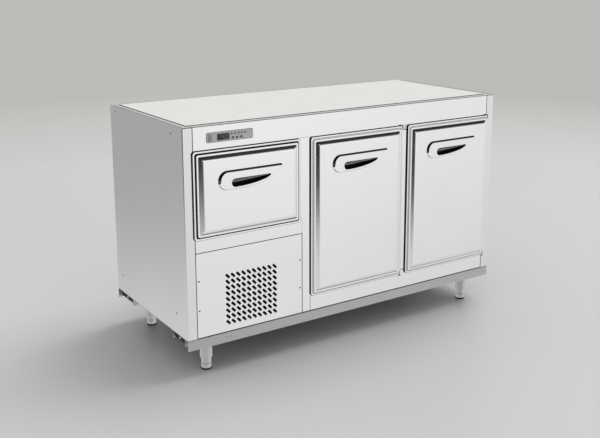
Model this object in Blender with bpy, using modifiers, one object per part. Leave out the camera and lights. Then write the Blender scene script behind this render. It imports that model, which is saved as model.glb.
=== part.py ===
"""Undercounter refrigerator: two hinged doors, one drawer over a plug-in condensing unit, four legs.

Cabinet coordinates: X from the left end, Y from the front frame's plane towards the back, Z from the
underside of the base. ORIGIN turns them into world coordinates, whose origin lies on the floor under
the middle of the cabinet, with -Y towards the user.
"""
import math

import bmesh
import bpy
from mathutils import Matrix, Vector

# Driving dimensions, in metres
WIDTH = 1.360
DEPTH = 0.600
BODY_HEIGHT = 0.750
LEG_HEIGHT = 0.100
BASE_HEIGHT = 0.037
SHEET = 0.0012
GAP = 0.0003
STILE = 0.036                     # side panels wrap round to the front by this much
RAIL_BOTTOM = 0.671
BAY_RIGHT = 0.450                 # right edge of the machine bay's panel
DIVIDER_LOW, DIVIDER_HIGH = 0.331, 0.384
VENT_TOP = DIVIDER_LOW

# Pressed fronts of the drawer and doors
FRONT_WIDTH = 0.412
DRAWER_WIDTH = 0.410
FRONT_TOP = 0.670
DOOR_BOTTOM = 0.092
DRAWER_BOTTOM = 0.374
DRAWER_LEFT = 0.031
DOOR_LEFTS = {"left_door": 0.483, "right_door": 0.917}
SKIN_BACK = -0.003
RIM_PROUD = 0.010
FIELD_PROUD = 0.017
HANDLE_PROUD = 0.021
RIM_INSET, FIELD_INSET = 0.020, 0.030
FRONT_CORNER = 0.010

# Cold compartment
LINER_LEFT, LINER_RIGHT = 0.500, 1.312
LINER_LOW, LINER_HIGH = 0.110, 0.654
LINER_BACK = 0.545
MULLION_LEFT, MULLION_RIGHT = 0.881, 0.931
PLUG_INSET = 0.024
PLUG_BACK = 0.030
SHELF_HEIGHT = 0.300

# Hinges
PIVOT_INSET = 0.0036
PIVOT_Y = -0.0063
PIVOT_RADIUS = 0.00175
PIN_REACH = 0.014                 # how far a pin goes into the door

# Legs
LEG_X = 0.092
LEG_Y = {"front": 0.054, "rear": 0.510}
SLEEVE_RADIUS, FOOT_RADIUS, FOOT_PAD_RADIUS = 0.021, 0.017, 0.0195
SLEEVE_BOTTOM = -0.058

# Drawer
BOX_LEFT, BOX_RIGHT = 0.050, 0.422
BOX_FRONT, BOX_BACK = -0.0083, 0.470
BOX_LOW, BOX_HIGH = 0.395, 0.600
RUNNER_LOW, RUNNER_HEIGHT = 0.470, 0.045

# Controller
BEZEL = (0.086, 0.256, 0.6925, 0.724)   # left, right, low, high
KEY_SIZE = (0.009, 0.006)
KEY_FIRST, KEY_PITCH, KEY_HEIGHT = 0.181, 0.0155, 0.7015

# Condensing unit
FAN_CENTRE = (0.240, 0.175)       # X, Z of the condenser fan's shaft
EVAPORATOR_FAN = (0.906, 0.560)   # X, Z of the evaporator fan's shaft

ORIGIN = Vector((-WIDTH / 2, (HANDLE_PROUD - DEPTH) / 2, LEG_HEIGHT))

for leftover in list(bpy.data.objects):
    bpy.data.objects.remove(leftover, do_unlink=True)
parts = bpy.data.collections.new("undercounter_refrigerator")
cutters = bpy.data.collections.new("cutters")
for collection in (parts, cutters):
    bpy.context.scene.collection.children.link(collection)


# ---------------------------------------------------------------- materials
def material(name, colour, roughness, metallic):
    mat = bpy.data.materials.new(name)
    mat.use_nodes = True
    shader = mat.node_tree.nodes["Principled BSDF"]
    shader.inputs["Base Color"].default_value = (*colour, 1)
    shader.inputs["Roughness"].default_value = roughness
    shader.inputs["Metallic"].default_value = metallic
    return mat


STAINLESS = ("stainless", (0.72, 0.72, 0.70), 0.35, 1.0)
GALVANISED = ("galvanised", (0.55, 0.58, 0.56), 0.5, 1.0)
TOP_SHEET = ("top_sheet", (0.78, 0.79, 0.76), 0.5, 0.3)
BLACK_PLASTIC = ("black_plastic", (0.02, 0.02, 0.02), 0.4, 0.0)
GREY_PLASTIC = ("grey_plastic", (0.45, 0.46, 0.45), 0.45, 0.0)
FOAM = ("foam", (0.80, 0.72, 0.50), 0.9, 0.0)
WHITE_PLASTIC = ("white_plastic", (0.85, 0.86, 0.86), 0.4, 0.0)
RUBBER = ("rubber", (0.35, 0.35, 0.36), 0.8, 0.0)
BLACK_STEEL = ("black_steel", (0.02, 0.02, 0.022), 0.45, 0.5)
ALUMINIUM = ("aluminium", (0.80, 0.81, 0.82), 0.4, 1.0)


def finish(obj, look):
    """Give an object its own material and put it among the parts."""
    obj.data.materials.append(material(obj.name + "_finish", *look[1:]))
    parts.objects.link(obj)
    return obj


# ---------------------------------------------------------------- shapes
def new_object(name, bm, location=(0, 0, 0), smooth=False):
    mesh = bpy.data.meshes.new(name)
    bm.to_mesh(mesh)
    bm.free()
    if smooth:
        mesh.shade_smooth()
        mesh.set_sharp_from_angle(angle=math.radians(35))
    obj = bpy.data.objects.new(name, mesh)
    obj.location = ORIGIN + Vector(location)
    return obj


def cube(low, high):
    """A cube as a bmesh centred on zero, and the place of its centre."""
    low, high = Vector(low), Vector(high)
    bm = bmesh.new()
    bmesh.ops.create_cube(bm, size=1)
    bmesh.ops.scale(bm, vec=high - low, verts=bm.verts)
    return bm, (low + high) / 2


def box(name, low, high):
    bm, centre = cube(low, high)
    return new_object(name, bm, centre)


FACES = {
    "left": Vector((-1, 0, 0)), "right": Vector((1, 0, 0)), "front": Vector((0, -1, 0)),
    "back": Vector((0, 1, 0)), "bottom": Vector((0, 0, -1)), "top": Vector((0, 0, 1)),
}


def shell(name, low, high, missing, thickness=SHEET, outward=False):
    """A box of sheet without the faces named in missing."""
    bm, centre = cube(low, high)
    bm.normal_update()
    gone = [f for f in bm.faces if any(f.normal.dot(FACES[side]) > 0.9 for side in missing)]
    bmesh.ops.delete(bm, geom=gone, context="FACES")
    obj = new_object(name, bm, centre)
    solidify(obj, thickness, 1 if outward else -1)
    return obj


def solidify(obj, thickness, offset=-1):
    modifier = obj.modifiers.new("sheet", "SOLIDIFY")
    modifier.thickness = thickness
    modifier.offset = offset
    modifier.use_even_offset = True


def folded(name, points, start, end, axis="X", thickness=SHEET):
    """A folded sheet: an open section, in (Y, Z) along X or (X, Z) along Y, drawn out along the axis.
    The section's points are on its outer face, and the sheet lies to the right of the way they go."""
    bm = bmesh.new()
    rows = []
    for place in (start, end):
        if axis == "X":
            rows.append([bm.verts.new((place, a, b)) for a, b in points])
        else:
            rows.append([bm.verts.new((a, place, b)) for a, b in points])
    for i in range(len(points) - 1):
        bm.faces.new((rows[0][i], rows[0][i + 1], rows[1][i + 1], rows[1][i]))
    obj = new_object(name, bm)
    solidify(obj, thickness, 1 if axis == "X" else -1)
    return obj


def flat(name, loops, near, thickness, plane="front"):
    """A flat outline with holes: loops of (X, Z) facing the front from Y = near, or (X, Y) on Z = near."""
    curve = bpy.data.curves.new(name, "CURVE")
    curve.dimensions = "2D"
    curve.fill_mode = "BOTH"
    curve.extrude = thickness / 2
    for loop in loops:
        spline = curve.splines.new("POLY")
        spline.points.add(len(loop) - 1)
        for point, (a, b) in zip(spline.points, loop):
            point.co = (a, b, 0, 1)
        spline.use_cyclic_u = True
    obj = bpy.data.objects.new(name, curve)
    middle = near + thickness / 2
    if plane == "front":
        obj.rotation_euler = (math.radians(90), 0, 0)
        obj.location = ORIGIN + Vector((0, middle, 0))
    else:
        obj.location = ORIGIN + Vector((0, 0, middle))
    return obj


def cylinder(name, start, length, radius, axis="Z", segments=24):
    bm = bmesh.new()
    bmesh.ops.create_cone(bm, cap_ends=True, segments=segments, radius1=radius, radius2=radius, depth=length)
    turn = {"Z": Matrix(), "Y": Matrix.Rotation(math.radians(-90), 4, "X")}[axis]
    bmesh.ops.transform(bm, matrix=turn, verts=bm.verts)
    along = {"Z": Vector((0, 0, 1)), "Y": Vector((0, 1, 0))}[axis]
    return new_object(name, bm, Vector(start) + along * length / 2, smooth=True)


def turned(name, profile, place, axis="Z", steps=24):
    """A turned piece: a closed profile of (radius, height) points, from the top down its outer side."""
    bm = bmesh.new()
    verts = [bm.verts.new((r, 0, h)) for r, h in profile]
    for a, b in zip(verts, verts[1:]):
        bm.edges.new((a, b))
    if profile[0][0] > 0:
        bm.edges.new((verts[-1], verts[0]))
    obj = new_object(name, bm, place, smooth=False)
    screw = obj.modifiers.new("turn", "SCREW")
    screw.steps = screw.render_steps = steps
    screw.use_merge_vertices = True
    screw.merge_threshold = 0.00001
    screw.use_smooth_shade = True
    if axis == "Y":
        obj.rotation_euler = (math.radians(-90), 0, 0)
    return obj


def cut(obj, *tools, operation="DIFFERENCE"):
    for tool in tools:
        cutters.objects.link(tool)
        tool.hide_render = True
        tool.display_type = "WIRE"
        modifier = obj.modifiers.new(tool.name, "BOOLEAN")
        modifier.operation = operation
        modifier.solver = "EXACT"
        modifier.object = tool
    return obj


def arc(centre, radius, start, end, steps):
    """Points on an arc; angles in degrees, anticlockwise from +X."""
    return [
        (centre[0] + radius * math.cos(math.radians(start + (end - start) * i / steps)),
         centre[1] + radius * math.sin(math.radians(start + (end - start) * i / steps)))
        for i in range(steps + 1)
    ]


def rectangle(left, right, low, high):
    return [(left, low), (right, low), (right, high), (left, high)]


def rounded(left, right, low, high, radius, steps=3):
    corners = [((right - radius, low + radius), -90), ((right - radius, high - radius), 0),
               ((left + radius, high - radius), 90), ((left + radius, low + radius), 180)]
    return [p for centre, start in corners for p in arc(centre, radius, start, start + 90, steps)]


# ---------------------------------------------------------------- cabinet shell
def cabinet_shell():
    flange_top = BODY_HEIGHT - 0.0014
    finish(folded("base_pan", [(0, 0), (0, BASE_HEIGHT), (DEPTH, BASE_HEIGHT), (DEPTH, 0)], 0, WIDTH),
           GALVANISED)
    low = BASE_HEIGHT + GAP
    for side, left, open_side in (("left", 0, "right"), ("right", WIDTH - STILE, "left")):
        panel = shell("side_panel_" + side, (left, 0, low), (left + STILE, DEPTH, flange_top),
                      (open_side, "bottom"))
        finish(panel, STAINLESS)
    start, end = STILE + GAP, WIDTH - STILE - GAP
    rail = folded("top_rail", [(0, RAIL_BOTTOM), (0, flange_top), (STILE, flange_top)], start, end)
    left, right, bottom, top = BEZEL
    inset = 0.005
    cut(rail, box("controller_cutout", (left + inset, -0.01, bottom + 0.0035),
                  (right - inset, 0.01, top - 0.0035)))
    finish(rail, STAINLESS)
    back = DEPTH - 0.003
    rear = folded("back_panel", [(0.560, flange_top), (back, flange_top), (back, low)], start, end)
    cut(rear, cylinder("cord_hole", (0.120, back - 0.01, 0.100), 0.02, 0.0103, "Y"))
    finish(rear, GALVANISED)
    margin = 0.028
    top_panel = box("top_panel", (margin, margin + 0.001, flange_top + GAP),
                    (WIDTH - margin, 0.575, BODY_HEIGHT))
    finish(top_panel, TOP_SHEET)

    finish(flat("bottom_rail", [rectangle(0.483 + GAP, end, low, LINER_LOW - 0.0015)], 0, SHEET), STAINLESS)
    stile_left, stile_right = 0.436, 0.483
    outline = [(BAY_RIGHT + GAP, low), (stile_right, low), (stile_right, RAIL_BOTTOM - GAP),
               (stile_left, RAIL_BOTTOM - GAP), (stile_left, DIVIDER_HIGH + GAP),
               (BAY_RIGHT + GAP, DIVIDER_HIGH + GAP)]
    finish(flat("middle_stile", [outline], 0, SHEET), STAINLESS)
    divider = folded("bay_divider", [(0, DIVIDER_LOW + GAP), (0, DIVIDER_HIGH), (0.590, DIVIDER_HIGH)],
                     start, BAY_RIGHT)
    finish(divider, STAINLESS)


def vent_panel():
    """Machine bay panel with a block of slanting slots."""
    columns, rows, pitch = 10, 9, 0.0204
    centre_x, centre_z = 0.244, 0.152
    reach, half_width = 0.0100, 0.0043
    along, across = Vector((0.7071, -0.7071)), Vector((0.7071, 0.7071))
    slots = []
    for column in range(columns):
        for row in range(rows):
            middle = Vector((centre_x + (column - (columns - 1) / 2) * pitch,
                             centre_z + (row - (rows - 1) / 2) * pitch))
            slots.append([tuple(middle + along * a * reach + across * b * half_width)
                          for a, b in ((-1, -1), (1, -1), (1, 1), (-1, 1))])
    outline = rectangle(STILE + GAP, BAY_RIGHT - GAP, BASE_HEIGHT + GAP, VENT_TOP - GAP)
    finish(flat("vent_panel", [outline] + slots, 0, SHEET), STAINLESS)


def legs():
    for end, front, back in (("front", 0.030, 0.125), ("rear", 0.470, 0.590)):
        low, high = 0.006, BASE_HEIGHT - SHEET - GAP
        channel = shell("leg_channel_" + end, (0.004, front, low), (WIDTH - 0.004, back, high),
                        ("bottom", "left", "right"), 0.0015)
        finish(channel, GALVANISED)
        for side, x in (("left", LEG_X), ("right", WIDTH - LEG_X)):
            place = (x, LEG_Y[end], 0)
            top, inner = high - 0.0015 - GAP, FOOT_RADIUS + 0.0005
            sleeve = [(0, top), (SLEEVE_RADIUS, top), (SLEEVE_RADIUS, SLEEVE_BOTTOM),
                      (inner, SLEEVE_BOTTOM), (inner, top - 0.003), (0, top - 0.003)]
            finish(turned(f"leg_sleeve_{end}_{side}", sleeve, place), STAINLESS)
            pad = -LEG_HEIGHT + 0.008
            foot = [(0, -0.012), (FOOT_RADIUS, -0.012), (FOOT_RADIUS, pad), (FOOT_PAD_RADIUS, pad),
                    (FOOT_PAD_RADIUS, -LEG_HEIGHT), (0, -LEG_HEIGHT)]
            finish(turned(f"leg_foot_{end}_{side}", foot, place), STAINLESS)


# ---------------------------------------------------------------- cold compartment
def compartment():
    skin = SHEET + GAP
    foam = box("insulation", (0.452, 0.002, BASE_HEIGHT + GAP),
               (WIDTH - skin, DEPTH - 0.003 - skin, BODY_HEIGHT - 0.0033))
    pocket = box("liner_pocket", (LINER_LEFT - skin, -0.01, LINER_LOW - skin),
                 (LINER_RIGHT + skin, LINER_BACK + skin, LINER_HIGH + skin))
    finish(cut(foam, pocket), FOAM)

    # The liner: a box open at the front, with a flange all round its mouth
    liner = shell("inner_liner", (LINER_LEFT, 0, LINER_LOW), (LINER_RIGHT, LINER_BACK, LINER_HIGH),
                  ("front",), outward=True)
    half = SHEET / 2
    flange = flat("liner_flange", [
        rectangle(0.483 + GAP, WIDTH - STILE - GAP, LINER_LOW - SHEET, RAIL_BOTTOM - GAP),
        rectangle(LINER_LEFT - half, LINER_RIGHT + half, LINER_LOW - half, LINER_HIGH + half)], 0, SHEET)
    finish(cut(liner, as_mesh(flange), operation="UNION"), STAINLESS)

    low, high = LINER_LOW + GAP, LINER_HIGH - GAP
    mullion = box("centre_mullion", (MULLION_LEFT, 0, low), (MULLION_RIGHT, 0.045, high))
    finish(mullion, STAINLESS)

    ledge, under = 0.014, SHELF_HEIGHT - GAP
    for side, wall, reach_in in (("left", LINER_LEFT + GAP, 1), ("right", LINER_RIGHT - GAP, -1)):
        points = [(wall, under - 0.020), (wall, under), (wall + reach_in * ledge, under)][::reach_in]
        support = folded("shelf_support_" + side, points, 0.060, 0.540, "Y", 0.0015)
        finish(support, STAINLESS)
    middle = (MULLION_LEFT + MULLION_RIGHT) / 2
    finish(box("shelf_support_centre", (middle - 0.014, 0.045 + GAP, under - 0.004),
               (middle + 0.014, LINER_BACK - GAP, under)), STAINLESS)
    for name, left, right in (("shelf_left", LINER_LEFT + 0.005, middle - 0.0015),
                              ("shelf_right", middle + 0.0015, LINER_RIGHT - 0.005)):
        wires, rod = 13, 0.005
        front, back = 0.058, 0.540
        pitch = (right - left - rod) / (wires - 1)
        slots = [rectangle(left + rod + i * pitch, left + (i + 1) * pitch, front + rod, back - rod)
                 for i in range(wires - 1)]
        frame = rectangle(left, right, front, back)
        finish(flat(name, [frame] + slots, SHELF_HEIGHT, rod, "top"), STAINLESS)


def evaporator():
    left, right, front, low, high = 0.838, 0.974, 0.200, 0.330, LINER_HIGH - GAP
    fan_x, fan_z = EVAPORATOR_FAN
    cover = shell("evaporator_cover", (left, front, low), (right, LINER_BACK - GAP, high), ("back",))
    cut(cover, cylinder("evaporator_fan_hole", (fan_x, front - 0.01, fan_z), 0.03, 0.052, "Y"),
        box("return_air_slot", (left + 0.02, 0.30, low - 0.01), (right - 0.02, 0.52, low + 0.01)))
    cut(cover, box("evaporator_fan_bracket", (left + 0.0006, 0.262, fan_z - 0.010),
                   (right - 0.0006, 0.266, fan_z + 0.010)), operation="UNION")
    finish(cover, WHITE_PLASTIC)
    fins, coil_front, coil_back = 14, 0.335, 0.540
    finish(finned_block("evaporator_coil", (left + 0.012, right - 0.012), (low + 0.012, 0.630), coil_front,
                        coil_back - coil_front, fins), ALUMINIUM)
    finish(fan("evaporator_fan", EVAPORATOR_FAN, 0.222, 0.047, 0.022, 0.038), BLACK_PLASTIC)


def finned_block(name, across, up, front, depth, slots):
    """A heat exchanger's block: upright fins joined by a header plate at the top and bottom."""
    pitch = (across[1] - across[0]) / (slots + 0.5)
    openings = [rectangle(across[0] + (i + 0.5) * pitch, across[0] + (i + 1) * pitch,
                          up[0] + 0.006, up[1] - 0.006) for i in range(slots)]
    return flat(name, [rectangle(*across, *up)] + openings, front, depth)


def fan(name, centre, front, radius, hub_radius, hub_length, blades=5):
    """An axial fan on a shaft along Y: pitched blades joined to a round hub."""
    x, z = centre
    hub = cylinder(name, (x, front, z), hub_length, hub_radius, "Y", 20)
    bm = bmesh.new()
    for i in range(blades):
        chord, thickness = radius * 0.62, 0.0016
        inner = hub_radius * 0.72
        blade = bmesh.ops.create_cube(bm, size=1)["verts"]
        bmesh.ops.scale(bm, vec=(radius - inner, thickness, chord), verts=blade)
        bmesh.ops.rotate(bm, matrix=Matrix.Rotation(math.radians(28), 3, "X"), verts=blade)
        bmesh.ops.translate(bm, vec=((radius + inner) / 2, 0, 0), verts=blade)
        bmesh.ops.rotate(bm, matrix=Matrix.Rotation(math.tau * i / blades, 3, "Y"), verts=blade)
    vanes = new_object(name + "_blades", bm, (x, front + hub_length / 2, z))
    return cut(hub, vanes, operation="UNION")


# ---------------------------------------------------------------- condensing unit
def condensing_unit():
    floor = BASE_HEIGHT + GAP
    tray = shell("condensing_tray", (0.060, 0.040, floor), (0.440, 0.560, floor + 0.012), ("top",), 0.002)
    finish(tray, GALVANISED)
    stand = floor + 0.002 + GAP
    height, radius = 0.175, 0.078
    pot = [(0, height), (0.030, height), (0.062, height - 0.012), (radius - 0.003, height - 0.040),
           (radius, height - 0.075), (radius + 0.004, height - 0.078), (radius + 0.004, height - 0.086),
           (radius, height - 0.089), (radius - 0.003, 0.035), (0.060, 0.014), (0.060, 0), (0, 0)]
    finish(turned("compressor", pot, (0.290, 0.430, stand)), BLACK_STEEL)
    left, right, front, depth = 0.095, 0.385, 0.062, 0.045
    finish(finned_block("condenser", (left, right), (stand, 0.300), front, depth, 22), ALUMINIUM)
    x, z = FAN_CENTRE
    strap_front, strap_back = front + depth + GAP, 0.195
    motor = cylinder("condenser_fan_motor", (x, 0.170, z), 0.060, 0.040, "Y")
    strap = shell("motor_strap", (left, strap_front, z - 0.014), (right, strap_back, z + 0.014),
                  ("front", "top", "bottom"), 0.002)
    finish(cut(motor, strap, operation="UNION"), BLACK_STEEL)
    finish(fan("condenser_fan_blade", FAN_CENTRE, 0.126, 0.100, 0.026, 0.042), GREY_PLASTIC)
    back = DEPTH - 0.003
    grommet = [(0.0048, 0.0030), (0.0140, 0.0030), (0.0140, GAP), (0.0100, GAP), (0.0100, -0.008),
               (0.0048, -0.008)]
    finish(turned("cord_grommet", grommet, (0.120, back, 0.100), "Y"), RUBBER)


# ---------------------------------------------------------------- pressed fronts
def wing(left, top, bevel=0.0, lower=0.0):
    """Outline of the handle's raised wing, as (X, Z): a round left end, a straight top, a small corner
    at the right, and a lower edge that rises to it. bevel draws the top and ends in, lower the bottom."""
    radius, centre_x = 0.031, left + 0.112
    high = top - 0.075
    centre = (centre_x, high - radius)
    end_radius, end_x = 0.006, left + 0.322
    left_end = arc(centre, radius - bevel, 90, 180, 5) + arc(centre, radius - lower, 200, 270, 4)
    right_end = arc((end_x, high - end_radius), end_radius - bevel * 0.5, 0, 90, 3)
    start, run = left + 0.150, 0.170
    rise = 2 * radius - 0.008
    steps = 6
    edge = [(start + run * i / steps, high - 2 * radius + lower + rise * (i / steps) ** 2.4)
            for i in range(steps)]
    right_end = [(x - bevel * 0.5, z - bevel * 0.5) for x, z in right_end]
    return left_end + edge + right_end


def slot(left, top):
    """Outline of the finger slot: a round left end that tapers to a point at the right."""
    radius = 0.0155
    high = top - 0.102
    centre = (left + 0.1475, high - radius)
    end = left + 0.281
    steps = 5
    lower = [(centre[0] + (end - centre[0]) * i / steps,
              high - 2 * radius + (2 * radius - 0.002) * (i / steps) ** 1.5) for i in range(1, steps + 1)]
    return arc(centre, radius, 90, 270, 8) + lower + [(end - 0.005, high)]


def pressed_skin(name, left, right, low, high):
    """The dished stainless front: a rim, a bevel up to a raised field, and the handle's wing and slot."""
    bm = bmesh.new()

    def ring(points, y):
        return [bm.verts.new((x, y, z)) for x, z in points]

    def band(outer, inner):
        for i in range(len(outer)):
            j = (i + 1) % len(outer)
            bm.faces.new((outer[i], outer[j], inner[j], inner[i]))

    def sheet_between(outer, inner):
        edges = [edge_between(a, b) for loop in (outer, inner) for a, b in zip(loop, loop[1:] + loop[:1])]
        bmesh.ops.triangle_fill(bm, use_beauty=True, use_dissolve=False, edges=edges)

    def edge_between(a, b):
        return bm.edges.get((a, b)) or bm.edges.new((a, b))

    def rim(inset, y):
        radius = max(FRONT_CORNER - inset * 0.3, 0.003)
        return ring(rounded(left + inset, right - inset, low + inset, high - inset, radius), y)

    rims = [rim(0, SKIN_BACK), rim(0, -RIM_PROUD), rim(RIM_INSET, -RIM_PROUD), rim(FIELD_INSET, -FIELD_PROUD)]
    for outer, inner in zip(rims, rims[1:]):
        band(outer, inner)
    foot_of_wing = ring(wing(left, high), -FIELD_PROUD)
    top_of_wing = ring(wing(left, high, 0.005, 0.0015), -HANDLE_PROUD)
    sheet_between(rims[-1], foot_of_wing)
    band(foot_of_wing, top_of_wing)
    sheet_between(top_of_wing, ring(slot(left, high), -HANDLE_PROUD))
    bmesh.ops.recalc_face_normals(bm, faces=bm.faces)
    if sum(f.normal.y * f.calc_area() for f in bm.faces) > 0:
        bmesh.ops.reverse_faces(bm, faces=bm.faces)
    skin = new_object(name, bm)
    solidify(skin, SHEET)
    return skin


CUP = (0.120, 0.294, 0.142, 0.095)   # left, right, depth below the top edge of its floor and its roof
CUP_FRONT, CUP_BACK = -0.0154, 0.010


def handle_cup(name, left, top):
    """Open plastic box behind the finger slot."""
    cup = shell(name, (left + CUP[0], CUP_FRONT, top - CUP[2]), (left + CUP[1], CUP_BACK, top - CUP[3]),
                ("front",), 0.0015)
    finish(cup, BLACK_PLASTIC)


def cup_pocket(name, left, top):
    room = 0.0005
    return box(name, (left + CUP[0] - room, -0.02, top - CUP[2] - room),
               (left + CUP[1] + room, CUP_BACK + room, top - CUP[3] + room))


def hinge(name, x, z, up):
    """Hinge bracket: a leaf over (or under) the door, a leg down the frame, and the pivot pin."""
    leaf, leg, reach = 0.0012, 0.0009, 0.040
    sign = -1 if up else 1
    z0, z1 = sorted((z + sign * -GAP, z - sign * (GAP + leaf)))
    bracket = box(name, (x - 0.008, PIVOT_Y - 0.0035, z0), (x + 0.0036, -GAP, z1))
    leg0, leg1 = sorted((z - sign * (GAP + leaf / 2), z + sign * reach))
    upright = box(name + "_leg", (x - 0.0015, -GAP - leg, leg0), (x + 0.0036, -GAP, leg1))
    pin_start = min(z - sign * (GAP + leaf / 2), z + sign * PIN_REACH)
    pin = cylinder(name + "_pin", (x, PIVOT_Y, pin_start), PIN_REACH + GAP + leaf / 2, PIVOT_RADIUS, "Z", 16)
    finish(cut(bracket, upright, pin, operation="UNION"), STAINLESS)


def door(name, left):
    right = left + FRONT_WIDTH
    skin = pressed_skin(name + "_skin", left, right, DOOR_BOTTOM, FRONT_TOP)
    pivot = right - PIVOT_INSET
    hole = PIN_REACH + 0.006
    cut(skin, *[cylinder(f"{name}_pivot_hole_{i}", (pivot, PIVOT_Y, z), hole, PIVOT_RADIUS + 0.0003, "Z", 16)
                for i, z in enumerate((DOOR_BOTTOM - 0.004, FRONT_TOP + 0.004 - hole))])
    finish(skin, STAINLESS)

    rim, front = 0.008, -0.0085
    core = box(name + "_core", (left + rim, front, DOOR_BOTTOM + rim), (right - rim, SKIN_BACK, FRONT_TOP - rim))
    plug = box(name + "_plug", (left + PLUG_INSET, front + 0.002, DOOR_BOTTOM + PLUG_INSET),
               (right - PLUG_INSET, PLUG_BACK, FRONT_TOP - PLUG_INSET))
    cut(core, plug, operation="UNION")
    cut(core, cup_pocket(name + "_cup_pocket", left, FRONT_TOP))
    finish(core, WHITE_PLASTIC)

    outer, inner = 0.0085, PLUG_INSET - 0.001
    gasket = flat(name + "_gasket", [
        rectangle(left + outer, right - outer, DOOR_BOTTOM + outer, FRONT_TOP - outer),
        rectangle(left + inner, right - inner, DOOR_BOTTOM + inner, FRONT_TOP - inner)],
        SKIN_BACK + GAP, -SKIN_BACK - 2 * GAP)
    finish(gasket, RUBBER)
    handle_cup(name + "_handle_cup", left, FRONT_TOP)
    hinge(name + "_hinge_bottom", pivot, DOOR_BOTTOM, up=False)
    hinge(name + "_hinge_top", pivot, FRONT_TOP, up=True)


def drawer():
    right = DRAWER_LEFT + DRAWER_WIDTH
    finish(pressed_skin("drawer_skin", DRAWER_LEFT, right, DRAWER_BOTTOM, FRONT_TOP), STAINLESS)
    tub = shell("drawer_box", (BOX_LEFT, BOX_FRONT, BOX_LOW), (BOX_RIGHT, BOX_BACK, BOX_HIGH), ("top",))
    cut(tub, cup_pocket("drawer_cup_pocket", DRAWER_LEFT, FRONT_TOP))
    rail = 0.0058
    high = RUNNER_LOW + RUNNER_HEIGHT
    slide_rails = [box(f"drawer_rail_{i}", (x0, 0.010, RUNNER_LOW + 0.008), (x1, BOX_BACK - 0.005, high - 0.008))
                   for i, (x0, x1) in enumerate(((BOX_LEFT - rail, BOX_LEFT + 0.0006),
                                                 (BOX_RIGHT - 0.0006, BOX_RIGHT + rail)))]
    finish(cut(tub, *slide_rails, operation="UNION"), STAINLESS)
    handle_cup("drawer_handle_cup", DRAWER_LEFT, FRONT_TOP)

    for side, wall, box_side, way in (("left", SHEET + GAP, BOX_LEFT, -1), ("right", 0.452 - GAP, BOX_RIGHT, 1)):
        face = box_side + way * 0.0125
        points = [(wall, RUNNER_LOW), (face, RUNNER_LOW), (face, high)][::-way]
        outer = folded("drawer_runner_fixed_" + side, points, 0.012, 0.500, "Y", 0.0015)
        finish(outer, GALVANISED)
        near, far = sorted((box_side + way * 0.0065, box_side + way * 0.0100))
        finish(box("drawer_runner_middle_" + side, (near, 0.012, RUNNER_LOW + 0.005),
                   (far, 0.480, high - 0.004)), GALVANISED)


# ---------------------------------------------------------------- controller
def controller():
    left, right, low, high = BEZEL
    unit = flat("controller", [rounded(left, right, low, high, 0.004)], -0.0025, 0.0025 - GAP)
    unit = as_mesh(unit)
    inset = 0.0055
    cut(unit, box("controller_body", (left + inset, -0.0012, low + 0.004),
                  (right - inset, 0.055, high - 0.004)), operation="UNION")
    wide, tall = KEY_SIZE
    for i, label in enumerate(("set", "down", "up")):
        x = KEY_FIRST + i * KEY_PITCH
        x0, x1, z0, z1 = x - wide / 2, x + wide / 2, KEY_HEIGHT - tall / 2, KEY_HEIGHT + tall / 2
        room = 0.0003
        cut(unit, box("key_hole_" + label, (x0 - room, -0.004, z0 - room), (x1 + room, 0.0006, z1 + room)))
        finish(flat("key_" + label, [rounded(x0, x1, z0, z1, 0.0015)], -0.0031, 0.0028), GREY_PLASTIC)
    finish(unit, GREY_PLASTIC)


def as_mesh(obj):
    """Turn a curve object into a welded mesh object, so that it can be cut."""
    depsgraph = bpy.context.evaluated_depsgraph_get()
    parts.objects.link(obj)
    bpy.context.view_layer.update()
    mesh = bpy.data.meshes.new_from_object(obj.evaluated_get(depsgraph))
    bm = bmesh.new()
    bm.from_mesh(mesh)
    bmesh.ops.remove_doubles(bm, verts=bm.verts, dist=0.00001)
    bm.to_mesh(mesh)
    bm.free()
    name, matrix = obj.name, obj.matrix_world.copy()
    bpy.data.objects.remove(obj, do_unlink=True)
    solid = bpy.data.objects.new(name, mesh)
    solid.matrix_world = matrix
    return solid


cabinet_shell()
vent_panel()
legs()
compartment()
evaporator()
condensing_unit()
controller()
for door_name, door_left in DOOR_LEFTS.items():
    door(door_name, door_left)
drawer()
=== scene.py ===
"""Looks of the undercounter refrigerator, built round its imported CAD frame.

Pieces are modelled in cabinet coordinates, in metres: X from the left end, Y from the front frame's
plane towards the back, Z from the underside of the base. ORIGIN puts them in the row frame.
"""
import math

import bmesh
import bpy
from mathutils import Matrix, Vector

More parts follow.
